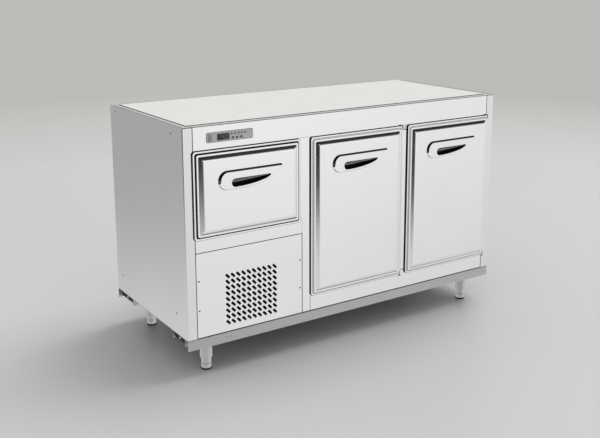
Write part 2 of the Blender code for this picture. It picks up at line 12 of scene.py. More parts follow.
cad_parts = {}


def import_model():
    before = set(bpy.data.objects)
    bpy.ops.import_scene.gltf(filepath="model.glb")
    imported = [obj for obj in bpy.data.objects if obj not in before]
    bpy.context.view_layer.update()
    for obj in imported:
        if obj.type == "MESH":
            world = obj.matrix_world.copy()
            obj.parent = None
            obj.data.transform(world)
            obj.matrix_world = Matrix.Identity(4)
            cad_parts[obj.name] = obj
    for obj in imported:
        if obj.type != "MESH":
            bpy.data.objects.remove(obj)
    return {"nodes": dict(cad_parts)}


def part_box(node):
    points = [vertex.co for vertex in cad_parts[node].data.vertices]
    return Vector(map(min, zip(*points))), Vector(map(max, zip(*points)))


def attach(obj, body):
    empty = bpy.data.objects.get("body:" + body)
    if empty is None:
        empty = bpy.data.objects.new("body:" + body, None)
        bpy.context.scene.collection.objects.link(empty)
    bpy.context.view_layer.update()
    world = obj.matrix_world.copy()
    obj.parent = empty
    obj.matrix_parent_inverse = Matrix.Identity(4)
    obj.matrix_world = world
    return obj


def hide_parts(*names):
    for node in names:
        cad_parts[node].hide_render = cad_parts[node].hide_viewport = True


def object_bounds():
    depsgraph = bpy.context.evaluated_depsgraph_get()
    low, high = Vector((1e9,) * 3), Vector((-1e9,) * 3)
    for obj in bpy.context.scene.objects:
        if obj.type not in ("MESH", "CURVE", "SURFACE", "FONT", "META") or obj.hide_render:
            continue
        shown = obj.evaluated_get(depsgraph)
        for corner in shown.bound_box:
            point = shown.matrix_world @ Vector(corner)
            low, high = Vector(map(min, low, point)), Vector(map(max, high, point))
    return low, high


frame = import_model()
CAD_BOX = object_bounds()
base_low, base_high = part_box("base_pan")
ORIGIN = Vector((CAD_BOX[0].x, base_low.y, base_low.z))

GAP = 0.0003
SHEET = 0.0012
QUARTER = math.pi / 2


def span(node):
    """A CAD node's lowest and highest corner, in cabinet coordinates."""
    low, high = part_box(node)
    return low - ORIGIN, high - ORIGIN


def centre_of(node):
    """The middle of a CAD node, in cabinet coordinates."""
    low, high = span(node)
    return (low + high) / 2


WIDTH, DEPTH, BASE_TOP = base_high - ORIGIN
# how far the parts of a pressed front stand before the front frame
HANDLE_PROUD = -span("drawer_skin")[0].y
FIELD_PROUD = HANDLE_PROUD - 0.004
RIM_PROUD = 0.010
FLANGE_PROUD, FLANGE_INSET = 0.006, 0.0011
GROOVE, GROOVE_DEPTH = (0.0070, 0.0120), 0.0035
FLANGE_TOP = span("top_rail")[1].z
STILE = span("side_panel_left")[1].x
SIDES = ("left", "right")
ENDS = ("front", "rear")


# ---------------------------------------------------------------- materials
def feed(tree, socket, value):
    """Link a socket to another one, or give it a value."""
    if isinstance(value, bpy.types.NodeSocket):
        tree.links.new(value, socket)
    else:
        socket.default_value = value


def node(tree, kind, settings=None, **inputs):
    """Add a shader node; inputs are sockets to link or values, with _ for a space in a socket's name."""
    made = tree.nodes.new("ShaderNode" + kind)
    for key, value in (settings or {}).items():
        setattr(made, key, value)
    for key, value in inputs.items():
        feed(tree, made.inputs[key.replace("_", " ")], value)
    return made


def blank(name, **values):
    """A new material with values set on its Principled shader, its tree, and its object coordinates."""
    mat = bpy.data.materials.new(name)
    mat.use_nodes = True
    tree = mat.node_tree
    shader = tree.nodes["Principled BSDF"]
    for key, value in values.items():
        shader.inputs[key.replace("_", " ")].default_value = value
    return mat, tree, shader, node(tree, "TexCoord").outputs["Object"]


def noise(tree, where, scale, detail=2.0, stretch=(1, 1, 1)):
    placed = node(tree, "Mapping", Vector=where, Scale=stretch).outputs["Vector"]
    return node(tree, "TexNoise", Vector=placed, Scale=scale, Detail=detail).outputs["Fac"]


def remap(tree, value, low, high, start=0.3, end=0.7, kind="LINEAR"):
    made = node(tree, "MapRange", {"interpolation_type": kind}, Value=value, From_Min=start, From_Max=end,
                To_Min=low, To_Max=high)
    return made.outputs["Result"]


def tones(colour, darker, lighter):
    """A darker and a lighter version of a colour."""
    return tuple(c * darker for c in colour), tuple(min(1, c * lighter) for c in colour)


def shade(tree, shader, value, dark, light):
    """Drive the base colour between two colours."""
    mix = node(tree, "Mix", {"data_type": "RGBA"}, Factor=value)
    mix.inputs[6].default_value = (*dark, 1)
    mix.inputs[7].default_value = (*light, 1)
    tree.links.new(mix.outputs[2], shader.inputs["Base Color"])


def bump(tree, shader, height, distance, strength=0.5):
    made = node(tree, "Bump", Height=height, Distance=distance, Strength=strength)
    tree.links.new(made.outputs["Normal"], shader.inputs["Normal"])


def math_of(tree, operation, a, b):
    """The result of a maths node on two sockets or numbers."""
    made = node(tree, "Math", {"operation": operation})
    for socket, value in zip(made.inputs, (a, b)):
        feed(tree, socket, value)
    return made.outputs[0]


def sum_of(tree, a, b):
    return math_of(tree, "ADD", a, b)


def brushed(name, colour, roughness, grain, wave=0.00012):
    """Satin sheet metal: fine streaks along its grain, faint clouds of handling, a slight waviness."""
    mat, tree, shader, where = blank(name, Metallic=1.0)
    stretch = {"X": (0.012, 1, 1), "Y": (1, 0.012, 1), "Z": (1, 1, 0.012)}[grain]
    streaks = noise(tree, where, 850, 3, stretch)
    clouds = noise(tree, where, 6, 3)
    waves = noise(tree, where, 3.2, 1)
    shade(tree, shader, sum_of(tree, remap(tree, streaks, 0.2, 0.4), remap(tree, clouds, 0, 0.4)),
          *tones(colour, 0.97, 1.02))
    rough = sum_of(tree, remap(tree, streaks, -0.015, 0.015),
                   remap(tree, clouds, roughness - 0.02, roughness + 0.02))
    tree.links.new(rough, shader.inputs["Roughness"])
    height = sum_of(tree, remap(tree, streaks, 0, 0.0000012), remap(tree, waves, 0, wave))
    bump(tree, shader, height, 1.0, 0.6)
    return mat


def galvanised(name):
    """Hot-dipped sheet: flat crystals of a centimetre, each its own grey, and a chalky bloom."""
    mat, tree, shader, where = blank(name, Metallic=0.85)
    warp = node(tree, "Mix", {"data_type": "VECTOR"}, Factor=0.03)
    tree.links.new(where, warp.inputs[4])
    tree.links.new(node(tree, "TexNoise", Vector=where, Scale=60.0).outputs["Color"], warp.inputs[5])
    cells = node(tree, "TexVoronoi", Vector=warp.outputs[1], Scale=140.0).outputs["Color"]
    tone = node(tree, "SeparateColor", Color=cells).outputs["Red"]
    bloom = noise(tree, where, 22, 4)
    shade(tree, shader, sum_of(tree, remap(tree, tone, 0.2, 0.5, 0, 1), remap(tree, bloom, 0, 0.4)),
          (0.42, 0.43, 0.425), (0.58, 0.59, 0.58))
    tree.links.new(sum_of(tree, remap(tree, tone, 0.30, 0.42, 0, 1), remap(tree, bloom, 0, 0.12)),
                   shader.inputs["Roughness"])
    bump(tree, shader, tone, 0.00008, 0.3)
    return mat


def coated(name, colour, roughness, metallic=0.0, grain=0.00005, scale=900, spread=0.04):
    """Moulded plastic, paint or powder coat: a fine skin texture and slow changes of tone and gloss."""
    mat, tree, shader, where = blank(name, Metallic=metallic)
    clouds = noise(tree, where, 9, 4)
    skin = noise(tree, where, scale, 2)
    shade(tree, shader, remap(tree, clouds, 0, 1), *tones(colour, 1 - spread, 1 + spread))
    rough = sum_of(tree, remap(tree, clouds, roughness - 0.03, roughness + 0.03),
                   remap(tree, skin, -0.02, 0.02))
    tree.links.new(rough, shader.inputs["Roughness"])
    bump(tree, shader, skin, grain, 0.4)
    return mat


def foam(name):
    """Injected foam: yellow skin with closed cells."""
    mat, tree, shader, where = blank(name, Roughness=0.9)
    cells = node(tree, "TexVoronoi", Vector=where, Scale=420.0).outputs["Distance"]
    shade(tree, shader, noise(tree, where, 14, 4), (0.66, 0.55, 0.30), (0.85, 0.76, 0.50))
    bump(tree, shader, cells, 0.0006, 0.6)
    return mat


def glowing(name, colour, strength):
    """A lit part of the display, with slight clouds in its diffuser."""
    mat, tree, shader, where = blank(name, Roughness=0.3)
    shade(tree, shader, noise(tree, where, 300, 2), *tones(colour, 0.5, 1))
    shader.inputs["Emission Color"].default_value = (*colour, 1)
    shader.inputs["Emission Strength"].default_value = strength
    return mat


# a look is a material and the part's finish slot that it belongs to
STEEL = brushed("steel_front", (0.80, 0.80, 0.80), 0.13, "Z"), "stainless"
STEEL_ACROSS = brushed("steel_across", (0.80, 0.80, 0.80), 0.15, "X"), "stainless"
STEEL_SIDE = brushed("steel_side", (0.74, 0.74, 0.735), 0.20, "Z"), "stainless_side"
STEEL_INNER = brushed("steel_inner", (0.70, 0.70, 0.69), 0.34, "Y"), "stainless"
LEG_STEEL = brushed("steel_leg", (0.55, 0.55, 0.545), 0.30, "Z", 0.0), "stainless"
ZINC = galvanised("zinc_sheet"), "galvanised"
TOP_COAT = coated("top_coat", (0.80, 0.805, 0.78), 0.42, 0.10, 0.00003, 700, 0.02), "top_sheet"
BLACK = coated("black_moulding", (0.012, 0.012, 0.012), 0.34), "black_plastic"
SOFT_BLACK = coated("dark_grip", (0.16, 0.16, 0.158), 0.42), "black_plastic"
GREY = coated("grey_moulding", (0.66, 0.66, 0.65), 0.42), "grey_plastic"
DARK_GREY = coated("dark_grey_moulding", (0.16, 0.16, 0.155), 0.45), "grey_plastic"
WHITE = coated("white_liner", (0.80, 0.81, 0.80), 0.34), "white_plastic"
RUBBER = coated("grey_rubber", (0.20, 0.20, 0.205), 0.62, 0.0, 0.0001, 500, 0.08), "rubber"
# black rubber for seals, the grommet and the foot pads, and also black laid into gaps, grooves and hollows as
# painted shade
SEAL_AND_SHADE = coated("dark_seal_and_shade", (0.010, 0.010, 0.010), 0.70, 0.0, 0.0001, 500, 0.08), "rubber"
ENAMEL = coated("black_enamel", (0.014, 0.014, 0.015), 0.28, 0.0, 0.0002, 160, 0.1), "black_steel"
FIN = brushed("bare_fin", (0.82, 0.83, 0.84), 0.32, "Z", 0.0), "aluminium"
FOAM = foam("yellow_foam"), "foam"
COPPER = brushed("drawn_copper", (0.72, 0.34, 0.20), 0.24, "Z", 0.0), None
GLASS_BLACK = coated("smoked_window", (0.006, 0.005, 0.006), 0.12, 0.0, 0.00001, 400, 0.1), "black_plastic"
RED = glowing("red_segment", (0.40, 0.10, 0.12), 0.30), None
SCREW_STEEL = brushed("screw_steel", (0.55, 0.55, 0.54), 0.30, "X", 0.0), "stainless"
DARK_STEEL = brushed("dark_steel", (0.20, 0.20, 0.20), 0.35, "X", 0.0), "stainless"


# ---------------------------------------------------------------- finishing a piece
def raw(name, bm):
    mesh = bpy.data.meshes.new(name)
    bm.to_mesh(mesh)
    bm.free()
    obj = bpy.data.objects.new(name, mesh)
    bpy.context.scene.collection.objects.link(obj)
    obj.location = ORIGIN
    return obj


def bake(obj, angle=32):
    """Give an object its evaluated mesh, smooth except across sharp edges."""
    bpy.context.view_layer.update()
    depsgraph = bpy.context.evaluated_depsgraph_get()
    mesh = bpy.data.meshes.new_from_object(obj.evaluated_get(depsgraph))
    if obj.type == "CURVE":
        name, place = obj.name, obj.location.copy()
        bpy.data.objects.remove(obj)
        obj = bpy.data.objects.new(name, mesh)
        obj.location = place
        bpy.context.scene.collection.objects.link(obj)
    else:
        obj.modifiers.clear()
        obj.data = mesh
    mesh.shade_smooth()
    mesh.set_sharp_from_angle(angle=math.radians(angle))
    return obj


def flatten(obj):
    """Let the largest faces set the shading, so that flats stay flat beside their rounded folds."""
    modifier = obj.modifiers.new("flats", "WEIGHTED_NORMAL")
    modifier.mode, modifier.weight, modifier.keep_sharp = "FACE_AREA", 80, True


def break_edges(obj, width):
    """Round an object's sharp edges."""
    modifier = obj.modifiers.new("edge", "BEVEL")
    modifier.width, modifier.segments, modifier.limit_method = width, 2, "ANGLE"
    modifier.angle_limit = math.radians(40)


def cut(obj, shapes):
    """Have shapes cut away when an object is baked, and return the tools that do it."""
    tools = [raw("tool", shape) for shape in shapes]
    for tool in tools:
        modifier = obj.modifiers.new("cut", "BOOLEAN")
        modifier.operation, modifier.object, modifier.solver = "DIFFERENCE", tool, "EXACT"
    return tools


def shape_of(obj, tools=()):
    """Bake an object into a bmesh, and remove it and its tools."""
    obj = bake(obj)
    bm = bmesh.new()
    bm.from_mesh(obj.data)
    for done in (obj, *tools):
        bpy.data.objects.remove(done)
    return bm


def piece(name, shape, look, body="cabinet", nodes=(), thickness=0.0, side=-1, edge=0.0, cuts=(), angle=32):
    """Finish a shape as a named piece: thicken a sheet, cut it, break its edges, and put it on its body."""
    obj = raw(name, shape) if isinstance(shape, bmesh.types.BMesh) else shape
    obj.name = name
    if thickness:
        modifier = obj.modifiers.new("sheet", "SOLIDIFY")
        modifier.thickness, modifier.offset = thickness, side
    tools = cut(obj, cuts)
    if edge:
        break_edges(obj, edge)
    obj = bake(obj, angle)
    for tool in tools:
        bpy.data.objects.remove(tool)
    flatten(obj)
    obj.data.materials.clear()
    obj.data.materials.append(look[0])
    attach(obj, body)
    if nodes:
        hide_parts(*nodes)
    return obj


def carry(node_name, look, edge=0.0004):
    """Keep a CAD node: clean its triangles, break its edges and give it a finish."""
    obj = frame["nodes"][node_name]
    obj.data.materials.clear()
    obj.data.materials.append(look[0])
    weld = obj.modifiers.new("weld", "WELD")
    weld.merge_threshold = 0.00002
    if edge:
        break_edges(obj, edge)
    return obj


# ---------------------------------------------------------------- outlines, as (X, Z) or (a, b) points
def arc(centre, radius, start, end, steps):
    angles = [math.radians(start + (end - start) * i / steps) for i in range(steps + 1)]
    return [Vector((centre[0] + radius * math.cos(a), centre[1] + radius * math.sin(a))) for a in angles]


def rounded(left, right, low, high, radius, steps=6):
    corners = [((right - radius, low + radius), -90), ((right - radius, high - radius), 0),
               ((left + radius, high - radius), 90), ((left + radius, low + radius), 180)]
    return [p for centre, start in corners for p in arc(centre, radius, start, start + 90, steps)]


def softened(points, radius, steps=4):
    """An open line with its corners turned into arcs; radius is one number, or one for each corner."""
    points = [Vector(p) for p in points]
    radii = radius if isinstance(radius, (list, tuple)) else [radius] * (len(points) - 2)
    path = [points[0]]
    for before, corner, after, r in zip(points, points[1:], points[2:], radii):
        back, ahead = before - corner, after - corner
        half = back.angle(ahead) / 2
        if r <= 0 or math.pi / 2 - half < 0.005:
            path.append(corner)
            continue
        reach = min(r / math.tan(half), back.length * 0.48, ahead.length * 0.48)
        r = reach * math.tan(half)
        centre = corner + (back.normalized() + ahead.normalized()).normalized() * (r / math.sin(half))
        start = corner + back.normalized() * reach - centre
        end = corner + ahead.normalized() * reach - centre
        turn = math.atan2(start.cross(end), start.dot(end))
        for i in range(steps + 1):
            path.append(centre + Matrix.Rotation(turn * i / steps, 2) @ start)
    return path + [points[-1]]


def even(points, step):
    """A closed outline again, with points a step apart."""
    lengths = [(b - a).length for a, b in zip(points, points[1:] + points[:1])]
    total = sum(lengths)
    count = max(12, round(total / step))
    made, index, passed = [], 0, 0.0
    for i in range(count):
        target = total * i / count
        while passed + lengths[index] < target:
            passed += lengths[index]
            index += 1
        share = (target - passed) / lengths[index]
        made.append(points[index].lerp(points[(index + 1) % len(points)], share))
    return made


def inward(points):
    """Unit vectors into an anticlockwise outline."""
    made = []
    for i, p in enumerate(points):
        along = (points[(i + 1) % len(points)] - points[i - 1]).normalized()
        made.append(Vector((-along.y, along.x)))
    return made


def inset(points, distance):
    return [p + n * distance for p, n in zip(points, inward(points))]


def leaf(left, radius, high, run, end, power, tip, fullness=1.0):
    """A straight top, a round left end, and a lower edge that rises from run to a small round tip."""
    centre, deep = (left + radius, high - radius), 2 * radius
    angle = 0.5
    for _ in range(40):
        join = Vector((end - tip + tip * math.sin(angle), high - tip * (1 + math.cos(angle))))
        last = (1 - ((high - join.y) / deep) ** (1 / fullness)) ** (1 / power)
        length = (join.x - run) / last
        slope = fullness * (1 - last ** power) ** (fullness - 1) * power * last ** (power - 1)
        angle = 0.5 * angle + 0.5 * math.atan(slope * deep / length)
    steps, spacing = 60, 0.0017
    edge = [Vector((run + length * t, high - deep * (1 - t ** power) ** fullness))
            for t in (last * i / steps for i in range(steps))]
    tip_centre = join + Vector((-math.sin(angle), math.cos(angle))) * tip
    outline = arc(centre, radius, 90, 270, 48) + edge
    return even(outline + arc(tip_centre, tip, math.degrees(angle) - 90, 90, 14), spacing)


# ---------------------------------------------------------------- shapes
def loft(rings, closed=True, cap=(False, False)):
    """A skin over rings of points; closed joins each ring's ends, cap fills the first and last."""
    bm = bmesh.new()
    rows = [[bm.verts.new(p) for p in ring] for ring in rings]
    for outer, inner in zip(rows, rows[1:]):
        count = len(outer)
        for i in range(count if closed else count - 1):
            j = (i + 1) % count
            bm.faces.new((outer[i], outer[j], inner[j], inner[i]))
    for wanted, row in zip(cap, (rows[0], rows[-1])):
        if wanted:
            bm.faces.new(row)
    bmesh.ops.recalc_face_normals(bm, faces=bm.faces)
    return bm


def ring(bm, points, prouds):
    """Vertices at (X, Z) points; prouds, one number or one for each, is how far they stand forward."""
    if not isinstance(prouds, list):
        prouds = [prouds] * len(points)
    return [bm.verts.new((p.x, -proud, p.y)) for p, proud in zip(points, prouds)]


def bands(bm, rings):
    """Faces between each closed ring of vertices and the next."""
    for outer, inner in zip(rings, rings[1:]):
        for i in range(len(outer)):
            j = (i + 1) % len(outer)
            bm.faces.new((outer[i], outer[j], inner[j], inner[i]))


def fill(bm, *loops):
    """Triangles between closed loops of vertices."""
    edges = [bm.edges.get(pair) or bm.edges.new(pair)
             for loop in loops for pair in zip(loop, loop[1:] + loop[:1])]
    bmesh.ops.triangle_fill(bm, use_beauty=True, use_dissolve=False, edges=edges)


def face_forward(bm):
    """Turn the faces of a sheet to the front."""
    bmesh.ops.recalc_face_normals(bm, faces=bm.faces)
    if sum(f.normal.y * f.calc_area() for f in bm.faces) > 0:
        bmesh.ops.reverse_faces(bm, faces=bm.faces)


def merge(*shapes):
    """One bmesh of several."""
    whole = bmesh.new()
    for bm in shapes:
        mesh = bpy.data.meshes.new("part")
        bm.to_mesh(mesh)
        bm.free()
        whole.from_mesh(mesh)
        bpy.data.meshes.remove(mesh)
    return whole


def moved(bm, place=(0, 0, 0), turn=None):
    if turn:
        bmesh.ops.transform(bm, matrix=turn, verts=bm.verts)
    bmesh.ops.translate(bm, vec=Vector(place), verts=bm.verts)
    return bm


def block(low, high, edge=0.0, segments=2):
    low, high = Vector(low), Vector(high)
    bm = bmesh.new()
    bmesh.ops.create_cube(bm, size=1)
    bmesh.ops.scale(bm, vec=high - low, verts=bm.verts)
    bmesh.ops.translate(bm, vec=(low + high) / 2, verts=bm.verts)
    if edge:
        bmesh.ops.bevel(bm, geom=bm.edges[:], offset=edge, segments=segments, profile=0.5, affect="EDGES")
    return bm


TURNS = {"Z": Matrix(), "Y": Matrix.Rotation(-QUARTER, 4, "X"), "-Y": Matrix.Rotation(QUARTER, 4, "X"),
         "X": Matrix.Rotation(QUARTER, 4, "Y"), "-X": Matrix.Rotation(-QUARTER, 4, "Y")}
NORMALS = {"left": (-1, 0, 0), "right": (1, 0, 0), "front": (0, -1, 0), "back": (0, 1, 0),
           "bottom": (0, 0, -1), "top": (0, 0, 1)}


def open_box(low, high, missing, bend):
    """The surface of a folded box of sheet, without the missing faces, its folds rounded."""
    bm = block(low, high)
    bm.normal_update()
    gone = [f for f in bm.faces if any(f.normal.dot(Vector(NORMALS[m])) > 0.9 for m in missing)]
    bmesh.ops.delete(bm, geom=gone, context="FACES")
    folds = [e for e in bm.edges if len(e.link_faces) == 2]
    bmesh.ops.bevel(bm, geom=folds, offset=bend, segments=4, profile=0.5, affect="EDGES")
    return bm


def bent(section, start, end, bend=0.0025):
    """The surface of a folded sheet along X: an open section of (Y, Z) points."""
    path = softened(section, bend)
    bm = bmesh.new()
    verts = [[bm.verts.new((at, a, b)) for a, b in path] for at in (start, end)]
    for i in range(len(path) - 1):
        bm.faces.new((verts[0][i], verts[0][i + 1], verts[1][i + 1], verts[1][i]))
    return bm


def plate(name, loops, near, thickness, look, edge=0.0, upright=True, body="cabinet", nodes=()):
    """A flat piece with holes and broken edges: loops of (X, Z) from Y = near, or (X, Y) on Z = near."""
    curve = bpy.data.curves.new(name, "CURVE")
    curve.dimensions, curve.fill_mode = "2D", "BOTH"
    curve.extrude, curve.bevel_depth, curve.bevel_resolution = thickness / 2 - edge, edge, 1
    curve.offset = -edge
    for loop in loops:
        spline = curve.splines.new("POLY")
        spline.points.add(len(loop) - 1)
        for point, (a, b) in zip(spline.points, loop):
            point.co = (a, b, 0, 1)
        spline.use_cyclic_u = True
    obj = bpy.data.objects.new(name, curve)
    bpy.context.scene.collection.objects.link(obj)
    obj = bake(obj)
    turn = TURNS["-Y"] if upright else Matrix()
    shift = (0, near + thickness / 2, 0) if upright else (0, 0, near + thickness / 2)
    obj.data.transform(Matrix.Translation(shift) @ turn)
    obj.location = ORIGIN
    return piece(name, obj, look, body, nodes)


def lathe(profile, place=(0, 0, 0), axis="Z", steps=48):
    """A turned solid from (radius, height) points; points at radius 0 close on the axis."""
    around = [(math.cos(math.tau * i / steps), math.sin(math.tau * i / steps)) for i in range(steps)]
    rings = [[(r * a, r * b, h) for a, b in around] for r, h in profile]
    if profile[0][0] > 0:
        rings.append(rings[0])
    bm = loft(rings)
    bmesh.ops.remove_doubles(bm, verts=bm.verts, dist=0.000002)
    bmesh.ops.dissolve_degenerate(bm, edges=bm.edges, dist=0.000001)
    bmesh.ops.recalc_face_normals(bm, faces=bm.faces)
    return moved(bm, place, TURNS[axis])


def tubes(name, lines, radius, look, body="cabinet", nodes=()):
    """Round wires or pipes along lines of points, as one piece."""
    curve = bpy.data.curves.new(name, "CURVE")
    curve.dimensions = "3D"
    curve.bevel_depth, curve.bevel_resolution, curve.use_fill_caps = radius, 3, True
    for line in lines:
        closed = (Vector(line[0]) - Vector(line[-1])).length < 1e-6
        points = line[:-1] if closed else line
        spline = curve.splines.new("POLY")
        spline.points.add(len(points) - 1)
        for point, p in zip(spline.points, points):
            point.co = (*p, 1)
        spline.use_cyclic_u = closed
        spline.use_smooth = True
    obj = bpy.data.objects.new(name, curve)
    bpy.context.scene.collection.objects.link(obj)
    obj.location = ORIGIN
    return piece(name, obj, look, body, nodes, angle=60)


def route(points, bend, steps=6):
    """A pipe's line through its corners, with each corner bent to a radius."""
    points = [Vector(p) for p in points]
    path = [points[0]]
    for before, corner, after in zip(points, points[1:], points[2:]):
        back, ahead = (before - corner), (after - corner)
        reach = min(bend, back.length * 0.48, ahead.length * 0.48)
        start, end = corner + back.normalized() * reach, corner + ahead.normalized() * reach
        for i in range(steps + 1):
            t = i / steps
            path.append(start * (1 - t) ** 2 + corner * 2 * t * (1 - t) + end * t ** 2)
    return path + [points[-1]]


def circle(centre, radius, steps=40):
    """A closed line round an axis along Y."""
    angles = [math.tau * i / steps for i in range(steps + 1)]
    return [Vector(centre) + Vector((radius * math.cos(a), 0, radius * math.sin(a))) for a in angles]


def screw_head(place, axis, radius=0.0032, height=0.0014, sunk=False):
    """A round screw head with a cross recess; sunk makes a flat countersunk one."""
    rim, recess = 0.0003, 0.0009
    if sunk:
        profile = [(0, 0), (radius - rim, 0), (radius, -rim), (radius * 0.5, -height - rim),
                   (0, -height - rim)]
    else:
        dome = [(radius * math.cos(math.radians(a)), rim + (height - rim) * math.sin(math.radians(a)))
                for a in range(0, 90, 15)]
        profile = [(0, height)] + dome[::-1] + [(radius, -0.0004), (0, -0.0004)]
    top = 0 if sunk else height
    long, narrow = radius * 0.55, radius * 0.13
    arms = [block((-a, -b, top - recess), (a, b, top + 0.001)) for a, b in ((long, narrow), (narrow, long))]
    head = raw("head", lathe(profile, steps=24))
    return moved(shape_of(head, cut(head, arms)), place, TURNS[axis])


# ---------------------------------------------------------------- cabinet shell
SIDE_SCREWS = ((0.549, 0.729), (0.082, 0.721), (0.547, 0.104), (0.080, 0.109))  # (Y, Z)


def side_panels():
    low = BASE_TOP + GAP
    sink = [(0, 0.001), (0.0040, 0.001), (0.0040, 0.0001), (0.0022, -0.0030), (0, -0.0030)]
    for side, left, open_side, face, axis, way in (("left", 0, "right", 0, "-X", 1),
                                                   ("right", WIDTH - STILE, "left", WIDTH, "X", -1)):
        surface = open_box((left, 0, low), (left + STILE, DEPTH, FLANGE_TOP), (open_side, "bottom"), 0.003)
        sinks = [lathe(sink, (face, y, z), axis, 24) for y, z in SIDE_SCREWS]
        piece("side_panel_" + side + "_sheet", surface, STEEL_SIDE, nodes=["side_panel_" + side],
              thickness=SHEET, edge=0.0003, cuts=sinks)
        heads = [screw_head((face + way * 0.0004, y, z), axis, 0.0037, 0.002, sunk=True)
                 for y, z in SIDE_SCREWS]
        piece("side_screws_" + side, merge(*heads), DARK_STEEL)


def front_frame():
    start, end = STILE + GAP, WIDTH - STILE - GAP
    rail_low = span("top_rail")[0].z
    bezel_low, bezel_high = span("controller")
    margin, sill = 0.005, 0.0035
    window = block((bezel_low.x + margin, -0.01, bezel_low.z + sill),
                   (bezel_high.x - margin, 0.01, bezel_high.z - sill))
    rail = bent([(0, rail_low), (0, FLANGE_TOP), (STILE, FLANGE_TOP)], start, end)
    piece("top_rail_sheet", rail, STEEL_ACROSS, nodes=["top_rail"], thickness=SHEET, side=1, edge=0.0003,
          cuts=[window])
    base = bent([(0, 0), (0, BASE_TOP), (DEPTH, BASE_TOP), (DEPTH, 0)], 0, WIDTH, bend=0.003)
    piece("base_sheet", base, ZINC, nodes=["base_pan"], thickness=SHEET, side=1, edge=0.0003)
    joint_shade_lines()
    rivet = [(0, 0.0006), (0.0016, 0.0006), (0.0024, 0.0002), (0.0024, -0.0002), (0, -0.0002)]
    rivets = [lathe(rivet, (x, 0, BASE_TOP / 2), "-Y", 20) for x in (0.145, 0.163)]
    piece("base_rivets", merge(*rivets), DARK_STEEL)
    carry("bottom_rail", STEEL_ACROSS)
    carry("middle_stile", STEEL)
    carry("bay_divider", STEEL_ACROSS)
    carry("insulation", FOAM, 0)


def joint_shade_lines():
    """Painted shade: thin black strips laid along the joints of the front frame's sheets, standing in for the
    shade in the gaps.
    """
    joint, proud = 0.0026, 0.00025
    vent_high, door_low = span("vent_panel")[1], span("left_door_skin")[0]
    lines = [(x - joint / 2, x + joint / 2, BASE_TOP, FLANGE_TOP - 0.002) for x in (STILE, WIDTH - STILE)]
    lines += [(STILE, vent_high.x, vent_high.z - joint / 2, vent_high.z + joint / 2),
              (door_low.x, door_low.x + joint / 2, BASE_TOP, door_low.z),
              (vent_high.x - joint / 2, vent_high.x + joint / 2, BASE_TOP, vent_high.z),
              (STILE, WIDTH - STILE, BASE_TOP - 0.0004, BASE_TOP + joint - 0.0004)]
    # black strips that paint the shade of the gaps between the sheets
    dark_strips = [block((x0, -proud, z0), (x1, 0.0002, z1), 0.0001, 1) for x0, x1, z0, z1 in lines]
    piece("joint_shade_lines", merge(*dark_strips), SEAL_AND_SHADE)


def worktop():
    low, high = span("top_panel")
    corner = 0.004
    outline = rounded(low.x, high.x, low.y, high.y, corner, 4)
    plate("top_sheet_panel", [outline], low.z, high.z - low.z, TOP_COAT, 0.0004, upright=False,
          nodes=["top_panel"])
    seam = 0.0022
    dark_strips = [block((x, 0.012, FLANGE_TOP - 0.0002), (x + seam, DEPTH - 0.03, FLANGE_TOP + 0.0003), 0.0001, 1)
             for x in (0.0042, WIDTH - 0.0042 - seam)]
    piece("flange_seams", merge(*dark_strips), SEAL_AND_SHADE)
    # painted shade: a black ring round the top panel's edge stands in for the shade in the gap round it
    gap_shade = 0.0028
    ring = [rounded(low.x - gap_shade, high.x + gap_shade, low.y - gap_shade, high.y + gap_shade, corner + 0.002, 4),
            rounded(low.x + GAP, high.x - GAP, low.y + GAP, high.y - GAP, corner, 4)]
    plate("top_sheet_gap_shade", ring, low.z - 0.0001, 0.0006, SEAL_AND_SHADE, 0.0002, upright=False)


def vent_panel():
    low, high = span("vent_panel")
    columns, rows, pitch = 10, 9, 0.0204
    reach, half_width, corner = 0.0100, 0.0043, 0.0030
    centre, tilt = Vector((0.244, 0.152)), Matrix.Rotation(-QUARTER / 2, 2)
    slot = [tilt @ p for p in rounded(-reach, reach, -half_width, half_width, corner, 4)]
    slots = []
    for column in range(columns):
        for row in range(rows):
            middle = centre + Vector((column - (columns - 1) / 2, row - (rows - 1) / 2)) * pitch
            slots.append([middle + p for p in slot])
    outline = rounded(low.x, high.x, low.z, high.z, 0.0015, 3)
    plate("vent_panel_sheet", [outline] + slots, 0, SHEET, STEEL_ACROSS, 0.0003, nodes=["vent_panel"])
    heads = [screw_head((x, 0, z), "-Y", 0.0030) for x in (0.0455, 0.4405) for z in (0.1330, 0.2350)]
    piece("vent_panel_screws", merge(*heads), DARK_STEEL)


def back():
    low, high = span("back_panel")
    outer = high.y
    sheet = bent([(low.y, FLANGE_TOP), (outer, FLANGE_TOP), (outer, BASE_TOP + GAP)], low.x, high.x)
    middle = centre_of("cord_grommet")
    grommet_place, reach = (middle.x, outer, middle.z), 0.0103
    hole = lathe([(0, 0.02), (reach, 0.02), (reach, -0.02), (0, -0.02)], grommet_place, "Y", 32)
    piece("back_sheet", sheet, ZINC, nodes=["back_panel"], thickness=SHEET, side=1, edge=0.0003, cuts=[hole])
    louvres = [louvre(0.085 + column * 0.135, 0.145 + row * 0.021, outer)
               for column in range(2) for row in range(8)]
    piece("back_louvres", merge(*louvres), ZINC, angle=50)
    left, right = 0.055, WIDTH - 0.055
    places = [(x, z) for x in (left, 0.470, 0.890, right) for z in (0.055, 0.735)]
    places += [(x, z) for x in (left, right) for z in (0.28, 0.51)]
    screws = [screw_head((x, outer, z), "Y", 0.0034, 0.0016) for x, z in places]
    piece("back_screws", merge(*screws), SCREW_STEEL)
    bore = 0.0048
    grommet = softened([(bore, 0.0030), (0.0140, 0.0030), (0.0140, GAP), (0.0100, GAP), (0.0100, -0.008),
                        (bore, -0.008)], 0.0010)
    piece("grommet_ring", lathe(grommet, grommet_place, "Y"), SEAL_AND_SHADE, nodes=["cord_grommet"])


